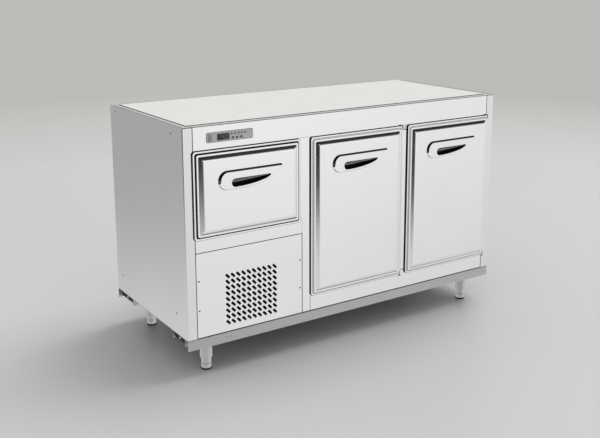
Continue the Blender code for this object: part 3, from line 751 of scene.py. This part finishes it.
def louvre(left, low, face):
    """A pressed hood, open below, that fades out at both ends."""
    length, drop, proud, fade = 0.105, 0.009, 0.0025, 0.1
    rings = []
    for share in (0, 0.04, fade, 1 - fade, 0.96, 1):
        size = math.sin(min(share, 1 - share, fade) / fade * QUARTER)
        x = left + share * length
        hood = [(x, face + proud * size * math.sin(a), low + drop * math.cos(a))
                for a in (QUARTER * i / 6 for i in range(1, 7))]
        rings.append([(x, face - 0.0004, low + drop), *hood, (x, face - 0.0004, low + 0.0004)])
    return loft(rings, cap=(True, True))


def legs():
    for end in ENDS:
        carry("leg_channel_" + end, ZINC, 0.0005)
        channel_ends(end)
        for side in SIDES:
            leg(end + "_" + side)


def channel_ends(end):
    """Painted shade: a black block in each end of a leg channel stands in for the shade inside it, with a
    bolt on its face.
    """
    low, high = span("leg_channel_" + end)
    middle, wall, depth, setback = (low.y + high.y) / 2, 0.0018, 0.020, 0.008
    bolts, shade_blocks = [], []
    for x, way in ((low.x + setback, -1), (high.x - setback, 1)):
        inner, outer = sorted((x, x - way * depth))
        # black blocks that paint the shade inside the channel's ends
        shade_blocks.append(block((inner, low.y + wall, low.z + 0.001),
                           (outer, high.y - wall, high.z - wall), 0.002))
        bolt = [(0, 0.004), (0.0046, 0.004), (0.0052, 0.0034), (0.0052, 0), (0.0075, 0), (0.0075, -0.001),
                (0, -0.001)]
        bolts.append(lathe([(r, way * h) for r, h in bolt], (x, middle, 0.021), "X", 6))
    piece("channel_shade_blocks_" + end, merge(*shade_blocks), SEAL_AND_SHADE)
    piece("channel_bolts_" + end, merge(*bolts), FIN)


def leg(place_name):
    """A leg's sleeve, the foot that slides in it, and the foot's pad."""
    low, high = span("leg_sleeve_" + place_name)
    x, y = (low.x + high.x) / 2, (low.y + high.y) / 2
    radius, inner, top, bottom = (high.x - low.x) / 2, 0.0175, high.z, low.z
    wall = softened([(radius, top), (radius, bottom), (inner, bottom), (inner, top - 0.003)], 0.0012)
    sleeve = [(0, top)] + [tuple(p) for p in wall] + [(0, top - 0.003)]
    piece("sleeve_" + place_name, lathe(sleeve, (x, y, 0), steps=56), LEG_STEEL,
          nodes=["leg_sleeve_" + place_name])
    low, high = span("leg_foot_" + place_name)
    shaft, neck, top, bottom = 0.017, 0.0161, high.z, low.z
    radius, pad = (high.x - low.x) / 2 - 0.001, bottom + 0.005
    rod = softened([(0, top), (shaft, top), (shaft, pad + 0.0190), (neck, pad + 0.0180), (neck, pad + 0.0165),
                    (shaft, pad + 0.0155), (shaft, pad + GAP), (0, pad + GAP)], 0.0005)
    piece("foot_" + place_name, lathe(rod, (x, y, 0), steps=56), LEG_STEEL, body=f"foot_{place_name}",
          nodes=["leg_foot_" + place_name])
    sole = softened([(0, pad), (radius - 0.0012, pad), (radius, pad - 0.002), (radius, bottom), (0, bottom)],
                    0.0008)
    piece("foot_pad_" + place_name, lathe(sole, (x, y, 0), steps=56), SEAL_AND_SHADE, body=f"foot_{place_name}")


# ---------------------------------------------------------------- pressed fronts
def front_profile():
    """(inset, proud) across a pressed front, from its turned-in edge to the flat of its field."""
    groove, rim, bevel = GROOVE, 0.0185, 0.0250
    soft, sag, floor = 0.011, 0.0018, FLANGE_PROUD - GROOVE_DEPTH
    tail = [Vector((bevel + soft * t, FIELD_PROUD - sag * (1 - t) ** 2))
            for t in (0.25, 0.4, 0.55, 0.7, 0.85, 1)]
    edge = softened([(FLANGE_INSET, 0.0010), (FLANGE_INSET, FLANGE_PROUD), (groove[0], FLANGE_PROUD),
                     (groove[0], floor), (groove[1], floor), (groove[1], RIM_PROUD), (rim, RIM_PROUD),
                     (bevel, FIELD_PROUD - sag), tail[0]],
                    (0.0008, 0.0004, 0.0005, 0.0005, 0.0004, 0.0012, 0.0015))
    return edge[:-1] + tail


def front_outline(left, right, low, high, distance):
    """A front's round-cornered outline, a distance inside its edge."""
    corner = max(0.010 - 0.3 * distance, 0.0025)
    return rounded(left + distance, right - distance, low + distance, high - distance, corner, 8)


def slot_outline(left, high):
    return leaf(left + 0.133, 0.0138, high - 0.1015, left + 0.1475, left + 0.2815, 1.8, 0.0025, 0.55)


def pressed(left, right, low, high):
    """The stainless front: rim with a groove, bevel, soft-edged field, raised wing and finger slot."""
    bm = bmesh.new()
    field = [ring(bm, front_outline(left, right, low, high, d), y) for d, y in front_profile()]
    bands(bm, field)
    wing_line = leaf(left + 0.084, 0.0325, high - 0.0722, left + 0.150, left + 0.330, 3.0, 0.008)
    rise, margin = HANDLE_PROUD - FIELD_PROUD, 0.0006
    wide, narrow = (softened([(-margin, 0), (0, 0), (width, rise), (width + margin, rise)], 0.0005)
                    for width in (0.0064, 0.0026))
    normals = inward(wing_line)
    # the wing's edge is steep, and fades out where it faces down and to the right
    shares = [min(1, max(0, -n.dot(Vector((-0.5, 0.87))) / 0.4)) * (1 + max(0, n.x)) for n in normals]
    wing = []
    for a, b in zip(narrow, wide):
        points = [p + n * (a.x + (b.x - a.x) * s) for p, n, s in zip(wing_line, normals, shares)]
        wing.append(ring(bm, points, [FIELD_PROUD + a.y + (b.y - a.y) * min(1, s) for s in shares]))
    fill(bm, field[-1], wing[0])
    bands(bm, wing)
    slot_line = slot_outline(left, high)
    lip = [ring(bm, inset(slot_line, d), HANDLE_PROUD - depth)
           for d, depth in softened([(-0.0020, 0), (0, 0), (0, 0.0055)], 0.0016, 5)]
    fill(bm, wing[-1], lip[0])
    bands(bm, lip)
    face_forward(bm)
    return bm


def shrunk(line, middle, size, depth):
    """An outline scaled about its middle, a depth behind the handle's plateau."""
    return [(q.x, -HANDLE_PROUD + depth, q.y) for q in (middle + (p - middle) * size for p in line)]


def cup(left, high):
    """The moulded cup behind the finger slot."""
    line = slot_outline(left, high)
    middle = Vector((left + 0.190, high - 0.1150))
    rings = [shrunk(inset(line, d), middle, 1, depth)
             for d, depth in softened([(-0.0006, 0.0042), (-0.0032, 0.010), (-0.0032, 0.0240)], 0.002)]
    rings += [shrunk(line, middle, size, depth)
              for size, depth in ((0.99, 0.0265), (0.94, 0.0283), (0.86, 0.0290))]
    return loft(rings, cap=(False, True))


def grip(left, high):
    """The finger grip that hangs behind the slot's upper edge."""
    line = leaf(left + 0.1335, 0.0060, high - 0.1010, left + 0.160, left + 0.2790, 1.2, 0.0012)
    middle = Vector((left + 0.200, high - 0.1065))
    rings = [shrunk(line, middle, size, depth)
             for size, depth in ((1, 0.0085), (1, 0.0068), (0.97, 0.0060), (0.85, 0.0057))]
    return loft(rings, cap=(True, True))


def pressed_front(name):
    """The pressed steel and handle of a door's or the drawer's front, with black strips in its groove and
    behind its edge as painted shade.
    """
    low, high = span(name + "_skin")
    left, right, bottom, top = low.x, high.x, low.z, high.z
    piece(name + "_front", pressed(left, right, bottom, top), STEEL, name, [name + "_skin"], thickness=0.0009)
    piece(name + "_cup", cup(left, top), BLACK, name, [name + "_handle_cup"], thickness=0.0010, side=1)
    piece(name + "_grip", grip(left, top), SOFT_BLACK, name)
    # painted shade: black strips fill the rim's groove and the gap behind the front's edge, standing in for
    # the shade there
    for shade_strip, insets, near, thickness in (
            ("_groove_shade", (GROOVE[0] + 0.0001, GROOVE[1] - 0.0001), 0.0004 - FLANGE_PROUD, 0.0028),
            ("_edge_gap_shade", (0.0001, 0.0040), -0.0048, 0.0043)):
        loops = [front_outline(left, right, bottom, top, d) for d in insets]
        plate(name + shade_strip, loops, near, thickness, SEAL_AND_SHADE, 0.0003, body=name)
    y = 0.0062 - HANDLE_PROUD
    line = [(left + x, y, top - z) for x, z in ((0.142, 0.1125), (0.200, 0.1090), (0.2740, 0.1042))]
    tubes(name + "_grip_edge", [line], 0.0010, GREY, name)


def doors():
    for side in SIDES:
        name = side + "_door"
        pressed_front(name)
        carry(name + "_core", WHITE, 0.0025)
        carry(name + "_hinge_bottom", SCREW_STEEL, 0.0002)
        carry(name + "_hinge_top", SCREW_STEEL, 0.0002)
        gasket(name)


def gasket(name):
    """A door's magnetic seal, a frame with three soft ribs."""
    low, high = span(name + "_gasket")
    steps, width, ribs = 14, 0.0145, 3
    rings = []
    for i in range(steps + 1):
        share = i / steps
        d = share * width
        bulge = 0.5 - 0.5 * math.cos(share * math.tau * ribs)
        depth = high.y if i in (0, steps) else low.y + (high.y - low.y) * (0.45 + 0.55 * bulge)
        outline = rounded(low.x + d, high.x - d, low.z + d, high.z - d, max(0.012 - d, 0.001), 5)
        rings.append([(p.x, depth, p.y) for p in outline])
    front = [[(x, low.y, z) for x, y, z in r] for r in (rings[-1], rings[0])]
    shape = loft(rings + front + [rings[0]])
    piece(name + "_gasket_profile", shape, RUBBER, name, [name + "_gasket"], angle=60)


def drawer():
    pressed_front("drawer")
    low, high = span("drawer_box")
    rail, front = 0.0058, 0.0135
    left, right, rim = low.x + rail, high.x - rail, high.z
    tub = open_box((left, front, low.z), (right, high.y, rim - 0.002), ("top",), 0.006)
    piece("drawer_tub", tub, STEEL_INNER, "drawer", ["drawer_box"], thickness=0.0010, edge=0.0002)
    hem = 0.002
    outline = rounded(left + hem / 2, right - hem / 2, front + hem / 2, high.y - hem / 2, 0.006)
    line = [Vector((p.x, p.y, rim - hem)) for p in outline]
    tubes("drawer_tub_hem", [line + line[:1]], hem, STEEL_INNER, "drawer")
    pan = open_box((left, low.y, low.z), (right, front - 0.001, rim + 0.040), ("front",), 0.004)
    piece("drawer_front_pan", pan, STEEL_INNER, "drawer", thickness=0.0010, edge=0.0002)
    runner_low, runner_high = span("drawer_runner_middle_left")
    rail_low, rail_high = runner_low.z + 0.003, runner_high.z - 0.003
    for side, x0, x1 in (("left", low.x, left + 0.0004), ("right", right - 0.0004, high.x)):
        slide = block((x0, 0.014, rail_low), (x1, high.y - 0.005, rail_high), 0.0008)
        piece("drawer_slide_" + side, slide, ZINC, "drawer")
        carry("drawer_runner_fixed_" + side, ZINC, 0.0003)
        carry("drawer_runner_middle_" + side, ZINC, 0.0006)


# ---------------------------------------------------------------- cold compartment
def compartment():
    carry("inner_liner", STEEL_INNER, 0)
    carry("centre_mullion", STEEL, 0.002)
    for place in ("left", "right", "centre"):
        carry("shelf_support_" + place, STEEL_INNER, 0.0003)
    for side in SIDES:
        shelf("shelf_" + side)


def shelf(name):
    """A wire shelf: a frame and three bars of rod, with thin wires laid over them."""
    low, high = span(name)
    rod, wire, bars, wires = (high.z - low.z) / 2, 0.0014, 3, 22
    left, right, front, rear = low.x + rod, high.x - rod, low.y + rod, high.y - rod
    middle = (low.z + high.z) / 2
    rim = [Vector((p.x, p.y, middle)) for p in rounded(left, right, front, rear, 0.012)]
    rods = [rim + rim[:1]]
    for i in range(bars):
        y = low.y + (high.y - low.y) * (i + 1) / (bars + 1)
        rods.append([(left, y, middle), (right, y, middle)])
    tubes(name + "_rods", rods, rod - 0.0002, STEEL_INNER, nodes=[name])
    grid = []
    for i in range(wires):
        x = left + (right - left) * (i + 1) / (wires + 1)
        grid.append([(x, front, high.z - wire), (x, rear, high.z - wire)])
    tubes(name + "_wires", grid, wire, STEEL_INNER)


def heat_exchanger(name, node_name, fin_pitch, rows, levels, looks):
    """Plate fins on tubes that run along X and turn back in bends outside the end plates."""
    low, high = span(node_name)
    room, radius, fin, margin, end_plate = 0.011, 0.0045, 0.0004, 0.015, 0.0015
    left, right = low.x + room, high.x - room
    starts = [left + i * fin_pitch for i in range(int((right - left) / fin_pitch) + 1)]
    fins = [block((x, low.y + 0.001, low.z + 0.001), (x + fin, high.y - 0.001, high.z - 0.001))
            for x in starts]
    piece(name + "_fins", merge(*fins), looks[0], nodes=[node_name])
    plates = [block((x, low.y, low.z), (x + end_plate, high.y, high.z), 0.0003)
              for x in (left - 0.001 - end_plate, right + 0.001)]
    piece(name + "_end_plates", merge(*plates), looks[1])
    pitch = (high.z - low.z - 2 * margin) / (levels - 1)
    reach = min(pitch / 2, room - radius - 0.005)
    lines = []
    for row in range(rows):
        y = low.y + (high.y - low.y) * (row + 0.5) / rows
        line = []
        for level in range(levels):
            z, way = low.z + margin + level * pitch, 1 if level % 2 == 0 else -1
            start, end = (left - 0.004, right + 0.004)[::way]
            line += [(start, y, z), (end, y, z)]
            if level < levels - 1:
                line += [(end + way * reach * math.sin(a), y, z + pitch / 2 * (1 - math.cos(a)))
                         for a in (math.pi * k / 8 for k in range(1, 8))]
        lines.append(line)
    tubes(name + "_tubes", lines, radius, looks[2])


def fan_blade(hub, radius, start, centre):
    """One cambered blade that twists from root to tip, as a sheet."""
    steps = 8
    rings = []
    for i in range(steps + 1):
        share = i / steps
        r = hub * 0.85 + (radius - hub * 0.85) * share
        half = (0.42 + 0.20 * math.sin(share * math.pi * 0.6)) * radius * 0.62
        pitch = math.radians(42 - 20 * share)
        sweep = start + 0.25 * share ** 1.5
        row = []
        for j in range(steps + 1):
            u = 2 * j / steps - 1
            turn = sweep + u * half * math.cos(pitch) / r
            y = u * half * math.sin(pitch) + (1 - u * u) * half * 0.12
            row.append((centre.x + r * math.cos(turn), centre.y + y, centre.z + r * math.sin(turn)))
        rings.append(row)
    return loft(rings, closed=False)


def fan_blades(name, node_name, body, look, blades=5):
    """A moulded axial fan: blades on a domed hub."""
    low, high = span(node_name)
    centre = (low + high) / 2
    radius = min(high.x - low.x, high.z - low.z) / 2 - 0.001
    hub, half_length = radius * 0.28, (high.y - low.y) / 2
    parts = []
    for k in range(blades):
        blade = raw("blade", fan_blade(hub, radius, math.tau * k / blades, centre))
        modifier = blade.modifiers.new("thick", "SOLIDIFY")
        modifier.thickness, modifier.offset = 0.0016, 0
        parts.append(shape_of(blade))
    dome = softened([(0, half_length), (hub * 0.55, half_length), (hub, half_length * 0.55),
                     (hub, -half_length), (0, -half_length)], hub * 0.25, 6)
    parts.append(lathe(dome, centre, "-Y", 40))
    piece(name, merge(*parts), look, body, [node_name], angle=40)


def evaporator():
    low, high = span("evaporator_cover")
    fan = centre_of("evaporator_fan")
    mouth, out = 0.052, 0.02
    left, right = low.x + 0.02, high.x - 0.02
    hole = lathe([(0, out), (mouth, out), (mouth, -out), (0, -out)], (fan.x, low.y, fan.z), "Y", 64)
    slots = [block((left, y, low.z - 0.01), (right, y + 0.008, low.z + 0.01))
             for y in (0.30 + 0.018 * i for i in range(12))]
    louvres = [block((left + 0.005, low.y - 0.01, z), (right - 0.005, low.y + 0.01, z + 0.005))
               for z in (0.355 + 0.014 * i for i in range(8))]
    piece("evaporator_hood", open_box(low, high, ("back",), 0.008), WHITE, nodes=["evaporator_cover"],
          thickness=0.0018, cuts=[hole] + slots + louvres, edge=0.0004)
    guard_y = low.y - 0.0016
    rings = [circle((fan.x, guard_y, fan.z), r) for r in (0.012, 0.022, 0.032, 0.042, 0.0535)]
    spokes = [[(fan.x + r * math.cos(a), guard_y - 0.0006, fan.z + r * math.sin(a)) for r in (0.010, 0.0545)]
              for a in (QUARTER * (i + 0.5) for i in range(4))]
    tubes("evaporator_guard", rings + spokes, 0.0011, SCREW_STEEL)
    heads = [screw_head((x, low.y, z), "-Y", 0.0030) for x in (low.x + 0.010, high.x - 0.010)
             for z in (low.z + 0.012, high.z - 0.012)]
    piece("evaporator_screws", merge(*heads), SCREW_STEEL)
    motor_y = 0.2635
    case = softened([(0, 0.030), (0.018, 0.030), (0.024, 0.022), (0.024, 0.002), (0, 0.002)], 0.003)
    strap = block((low.x + 0.002, motor_y - 0.0005, fan.z - 0.008),
                  (high.x - 0.002, motor_y + 0.002, fan.z + 0.008), 0.0006)
    piece("evaporator_motor", merge(lathe(case, (fan.x, motor_y, fan.z), "Y", 32), strap), DARK_GREY)
    heat_exchanger("evaporator_block", "evaporator_coil", 0.0045, 5, 10, (FIN, ZINC, COPPER))
    fan_blades("evaporator_impeller", "evaporator_fan", "evaporator_fan", BLACK)


# ---------------------------------------------------------------- condensing unit
def condensing_unit():
    carry("condensing_tray", ZINC, 0.0006)
    # black enamel, a finish such condensers have, chosen here also as painted shade so that the bay behind
    # the vent slots reads dark
    heat_exchanger("condenser_block", "condenser", 0.0032, 2, 11, (ENAMEL, ENAMEL, ENAMEL))
    fan_blades("condenser_impeller", "condenser_fan_blade", "condenser_fan", GREY)
    fan_motor()
    compressor()


def fan_motor():
    """The condenser fan's ribbed motor and the strap that carries it."""
    low, high = span("condenser_fan_motor")
    x, z = (low.x + high.x) / 2, (low.z + high.z) / 2
    front, strap_back, half_strap, ribs = 0.1705, 0.1935, 0.013, 16
    case = softened([(0, 0), (0.030, 0), (0.038, 0.006), (0.038, 0.050), (0.028, 0.058), (0, 0.058)], 0.003)
    motor = [lathe(case, (x, front, z), "Y", 40)]
    for i in range(ribs):
        rib = block((0.034, 0.006, -0.0012), (0.0400, 0.048, 0.0012), 0.0004)
        motor.append(moved(rib, (x, front, z), Matrix.Rotation(math.tau * i / ribs, 4, "Y")))
    piece("fan_motor_case", merge(*motor), ENAMEL, nodes=["condenser_fan_motor"])
    near = low.y + 0.001
    path = softened([(low.x, near), (low.x, strap_back), (high.x, strap_back), (high.x, near)], 0.006)
    strap = loft([[(a, b, z + h) for a, b in path] for h in (-half_strap, half_strap)], closed=False)
    piece("fan_motor_strap", strap, ENAMEL, thickness=0.002, side=0, edge=0.0003)


def compressor():
    """The hermetic compressor on its rubber mounts, and the pipes and drier round it."""
    low, high = span("compressor")
    x, y, stand, top = (low.x + high.x) / 2, (low.y + high.y) / 2, low.z, high.z
    radius, seam, lip = (high.x - low.x) / 2 - 0.004, stand + 0.093, 0.004
    flange = radius + 0.0038
    pot = softened([(0, top), (radius * 0.62, top), (radius * 0.97, top - 0.045), (radius, seam + lip),
                    (flange, seam + lip), (flange, seam - lip), (radius, seam - lip),
                    (radius * 0.97, stand + 0.030), (radius * 0.6, stand + 0.014), (0, stand + 0.014)],
                   (0.030, 0.025, 0.001, 0.001, 0.001, 0.001, 0.020, 0.008), 6)
    shell = lathe(pot, (x, y, 0), steps=72)
    corners = [(sx, sy) for sx in (-1, 1) for sy in (-1, 1)]
    half = 0.018
    lugs = [block((x + sx * 0.030 - half, y + sy * 0.048 - half, stand + 0.010),
                  (x + sx * 0.030 + half, y + sy * 0.048 + half, stand + 0.0135), 0.001)
            for sx, sy in corners]
    piece("compressor_shell", merge(shell, *lugs), ENAMEL, nodes=["compressor"])
    mount = softened([(0, 0.0100), (0.009, 0.0100), (0.009, 0.0005), (0, 0.0005)], 0.002)
    mounts = [lathe(mount, (x + sx * 0.036, y + sy * 0.053, stand), steps=24) for sx, sy in corners]
    piece("compressor_mounts", merge(*mounts), RUBBER)
    box_x, half = x - radius - 0.004, 0.030
    cover = block((box_x - 0.022, y - half, seam - 0.050), (box_x + 0.012, y + half, seam - 0.008), 0.004, 3)
    piece("compressor_terminal_cover", cover, BLACK)
    pipes = [
        route([(x - 0.020, y - radius * 0.80, seam + 0.030), (x - 0.020, y - 0.105, seam + 0.040),
               (x - 0.060, y - 0.150, seam + 0.100), (0.372, 0.130, 0.285), (0.380, 0.110, 0.285)], 0.025),
        route([(x + 0.030, y + 0.050, top - 0.030), (x + 0.050, y + 0.085, top + 0.020),
               (0.400, 0.530, 0.250), (0.425, 0.540, 0.310)], 0.030),
    ]
    tubes("refrigerant_pipes", pipes, 0.0032, COPPER)
    drier = softened([(0, 0.045), (0.0035, 0.045), (0.0095, 0.035), (0.0095, -0.035), (0.0035, -0.045),
                      (0, -0.045)], 0.003)
    piece("filter_drier", lathe(drier, (0.405, 0.250, 0.090), steps=28), COPPER)


# ---------------------------------------------------------------- controller
KEYS = ("key_set", "key_down", "key_up")
SEGMENTS = {"0": "abcdef", "4": "bcfg"}


def digit(character, left, low, wide, tall, front):
    """The lit bars of a seven-segment figure."""
    bar, gap, slant = 0.0013, 0.0004, 0.10
    half = tall / 2
    places = {
        "a": (gap, tall - bar, wide - gap, tall), "b": (wide - bar, half + gap, wide, tall - gap),
        "c": (wide - bar, gap, wide, half - gap), "d": (gap, 0, wide - gap, bar),
        "e": (0, gap, bar, half - gap), "f": (0, half + gap, bar, tall - gap),
        "g": (gap, half - bar / 2, wide - gap, half + bar / 2),
    }
    bars = []
    for name in SEGMENTS[character]:
        x0, z0, x1, z1 = places[name]
        bm = block((x0, front, z0), (x1, front + 0.0003, z1), 0.0001, 1)
        for v in bm.verts:
            v.co.x += v.co.z * slant
        bars.append(moved(bm, (left, 0, low)))
    return bars


def controller():
    low, high = span("controller")
    left, right, bottom, top = low.x, high.x, low.z, high.z
    proud = -low.y
    floor = proud - 0.0007
    bezel(left, right, bottom, top, proud, floor)
    outline = [rounded(left - d, right + d, bottom - d, top + d, 0.0045 + d, 6) for d in (0.0009, -0.0006)]
    plate("bezel_seal", outline, -0.0009, 0.0006, SEAL_AND_SHADE, 0.0001)
    housing = block((left + 0.006, 0.002, bottom + 0.0045), (right - 0.006, high.y, top - 0.0045), 0.002, 3)
    piece("controller_housing", housing, BLACK)
    display(left, bottom, top, floor)
    ribs = [block((left + 0.0050 + 0.0034 * i, -floor - 0.0006, bottom + 0.0045),
                  (left + 0.0064 + 0.0034 * i, -floor + 0.0002, top - 0.0045), 0.0003) for i in range(4)]
    piece("bezel_ribs", merge(*ribs), DARK_GREY)
    inner, outer = 0.0017, 0.0034
    mark = softened([(inner, 0.0004), (outer, 0.0004), (outer, -0.0002), (inner, -0.0002)], 0.0001)
    marks = [lathe(mark, (left + 0.0905 + 0.0126 * i, -floor - 0.0001, top - 0.0090), "-Y", 24)
             for i in range(5)]
    piece("bezel_marks", merge(*marks), DARK_GREY)
    for name in KEYS:
        key(name)


def bezel(left, right, bottom, top, proud, floor):
    """The controller's face: a raised rim round a floor with an opening for each key."""
    bm = bmesh.new()
    rim = softened([(0, GAP), (0, proud), (0.0022, proud), (0.0030, floor), (0.0042, floor)],
                   (0.0009, 0.0005, 0.0004))
    rows = [ring(bm, rounded(left + d, right - d, bottom + d, top - d, max(0.0045 - d, 0.0012), 6), y)
            for d, y in rim]
    room = 0.0003
    holes = []
    for name in KEYS:
        low, high = span(name)
        outline = rounded(low.x - room, high.x + room, low.z - room, high.z + room, 0.0017, 4)
        holes.append([ring(bm, outline, y) for y in (floor, floor - 0.0015)])
    for loops in [rows] + holes:
        bands(bm, loops)
    fill(bm, rows[-1], *[hole[0] for hole in holes])
    face_forward(bm)
    piece("controller_bezel", bm, GREY, nodes=["controller"], thickness=0.0004)


def display(bezel_left, bottom, top, floor):
    """A smoked window with two lit figures and a point."""
    left, right, low = bezel_left + 0.0375, bezel_left + 0.0820, bottom + 0.0050
    outline = rounded(left, right, low, top - 0.0060, 0.0012, 4)
    plate("display_window", [outline], -floor - 0.0008, 0.0010, GLASS_BLACK, 0.0003)
    face, base, tall, wide, dot = -floor - 0.0010, low + 0.004, 0.0125, 0.0075, 0.0012
    figures = digit("4", left + 0.0165, base, wide, tall, face)
    figures += digit("0", left + 0.0290, base, wide, tall, face)
    point = left + 0.0253
    figures.append(block((point, face, base), (point + dot, face + 0.0003, base + dot), 0.0001, 1))
    piece("display_figures", merge(*figures), RED)


def key(name):
    """A key's cap, with a rounded edge and a slight dish."""
    low, high = span(name)
    cx, cz, front = (low.x + high.x) / 2, (low.z + high.z) / 2, low.y
    outline = rounded(low.x, high.x, low.z, high.z, 0.0015, 5)
    rings = [[(cx + (p.x - cx) * size, y, cz + (p.y - cz) * size) for p in outline]
             for size, y in ((1, high.y), (1, front + 0.0005), (0.97, front + 0.0002),
                             (0.88, front + 0.00005), (0.60, front), (0.30, front + 0.00015))]
    piece(name + "_cap", loft(rings, cap=(True, True)), DARK_GREY, name, [name], angle=50)


# ---------------------------------------------------------------- stage, lights and camera
def stage():
    """A pale floor that fades into the backdrop."""
    mat, tree, shader, where = blank("studio_floor", Roughness=0.42)
    shade(tree, shader, noise(tree, where, 0.6, 2), (0.59, 0.59, 0.585), (0.62, 0.62, 0.617))
    distance = node(tree, "VectorMath", {"operation": "LENGTH"})
    tree.links.new(where, distance.inputs[0])
    tree.links.new(remap(tree, distance.outputs["Value"], 1, 0, 3.2, 6.5), shader.inputs["Alpha"])
    bm = bmesh.new()
    bmesh.ops.create_circle(bm, cap_ends=True, radius=7, segments=96)
    floor = bpy.data.objects.new("floor", bpy.data.meshes.new("floor"))
    bm.to_mesh(floor.data)
    bm.free()
    floor.data.materials.append(mat)
    bpy.context.scene.collection.objects.link(floor)
    floor.visible_glossy = False


def world():
    """Even light for matt surfaces, and for metal a reflected studio by direction: a wide bright wall at the
    front right, a pale floor all round that darkens towards the horizon, and a dark upper half."""
    studio = bpy.data.worlds.new("studio")
    bpy.context.scene.world = studio
    studio.use_nodes = True
    tree = studio.node_tree
    tree.nodes.clear()

    def smooth(value, start, end, low, high):
        return remap(tree, value, low, high, start, end, "SMOOTHSTEP")

    def product(a, b):
        return math_of(tree, "MULTIPLY", a, b)

    def background(strength, colour=(1.0, 1.0, 0.995)):
        return node(tree, "Background", Strength=strength, Color=(*colour, 1)).outputs[0]

    def mixed(share, first, second):
        made = node(tree, "MixShader")
        for socket, value in zip(made.inputs, (share, first, second)):
            tree.links.new(value, socket)
        return made.outputs[0]

    toward = node(tree, "TexCoord").outputs["Generated"]
    across, deep, up = node(tree, "SeparateXYZ", Vector=toward).outputs
    level = math_of(tree, "SQRT", math_of(tree, "SUBTRACT", 1.0, product(up, up)), 0)
    sideways, backward = (math_of(tree, "DIVIDE", way, level) for way in (across, deep))
    wall = product(smooth(sideways, 0.14, 0.42, 0, 1), smooth(sideways, 0.50, 0.75, 1.06, 0.95))
    wall = product(product(wall, smooth(backward, 0.45, 0.80, 1, 0.62)), smooth(up, -0.08, -0.40, 1.04, 0.84))
    front, behind = smooth(up, -0.236, -0.312, 0.01, 0.80), smooth(up, -0.22, -0.44, 0.49, 0.82)
    ground = smooth(backward, -0.2, 0.5, front, behind)
    lower = product(math_of(tree, "MAXIMUM", wall, ground), smooth(up, -0.55, -0.98, 1, 0.45))
    start, end = (smooth(backward, 0.1, 0.5, near, far) for near, far in ((0.0, 0.50), (0.22, 0.90)))
    lower = product(lower, smooth(up, start, end, 1, 0.03))
    reflected = background(sum_of(tree, lower, smooth(up, 0.86, 0.98, 0, 0.5)))
    even_light = background(smooth(up, 0.0, 0.50, 0.03, 0.72))
    backdrop = background(1.0, (0.505, 0.498, 0.478))
    rays = node(tree, "LightPath").outputs
    direct = math_of(tree, "SUBTRACT", 1.0, math_of(tree, "MINIMUM", rays["Diffuse Depth"], 1.0))
    bounced = mixed(product(rays["Is Glossy Ray"], direct), even_light, reflected)
    node(tree, "OutputWorld", Surface=mixed(rays["Is Camera Ray"], bounced, backdrop))


def lights():
    """One very soft source from above the front right, seen only by matt surfaces."""
    data = bpy.data.lights.new("overhead", "SUN")
    data.energy, data.angle = 1.55, math.radians(40)
    lamp = bpy.data.objects.new("overhead", data)
    bpy.context.scene.collection.objects.link(lamp)
    shines_toward = Vector((-0.6, -0.05, -1))
    lamp.rotation_euler = shines_toward.to_track_quat("-Z", "Y").to_euler()
    lamp.visible_glossy = False


def camera():
    """The photographed angle: from the front left, a little above the top, with the lens shifted down."""
    data = bpy.data.cameras.new("camera")
    data.lens, data.sensor_width, data.shift_y = 52.42, 36, -0.115
    eye = bpy.data.objects.new("camera", data)
    bpy.context.scene.collection.objects.link(eye)
    eye.location = (-1.8459, -2.7350, 1.3294)
    eye.rotation_euler = tuple(math.radians(a) for a in (78.408, 0.16, -33.36))
    bpy.context.scene.camera = eye


camera()
bpy.context.scene.view_settings.view_transform = "Standard"
side_panels()
front_frame()
worktop()
vent_panel()
back()
legs()
doors()
drawer()
compartment()
evaporator()
condensing_unit()
controller()
stage()
world()
lights()

bpy.context.view_layer.update()
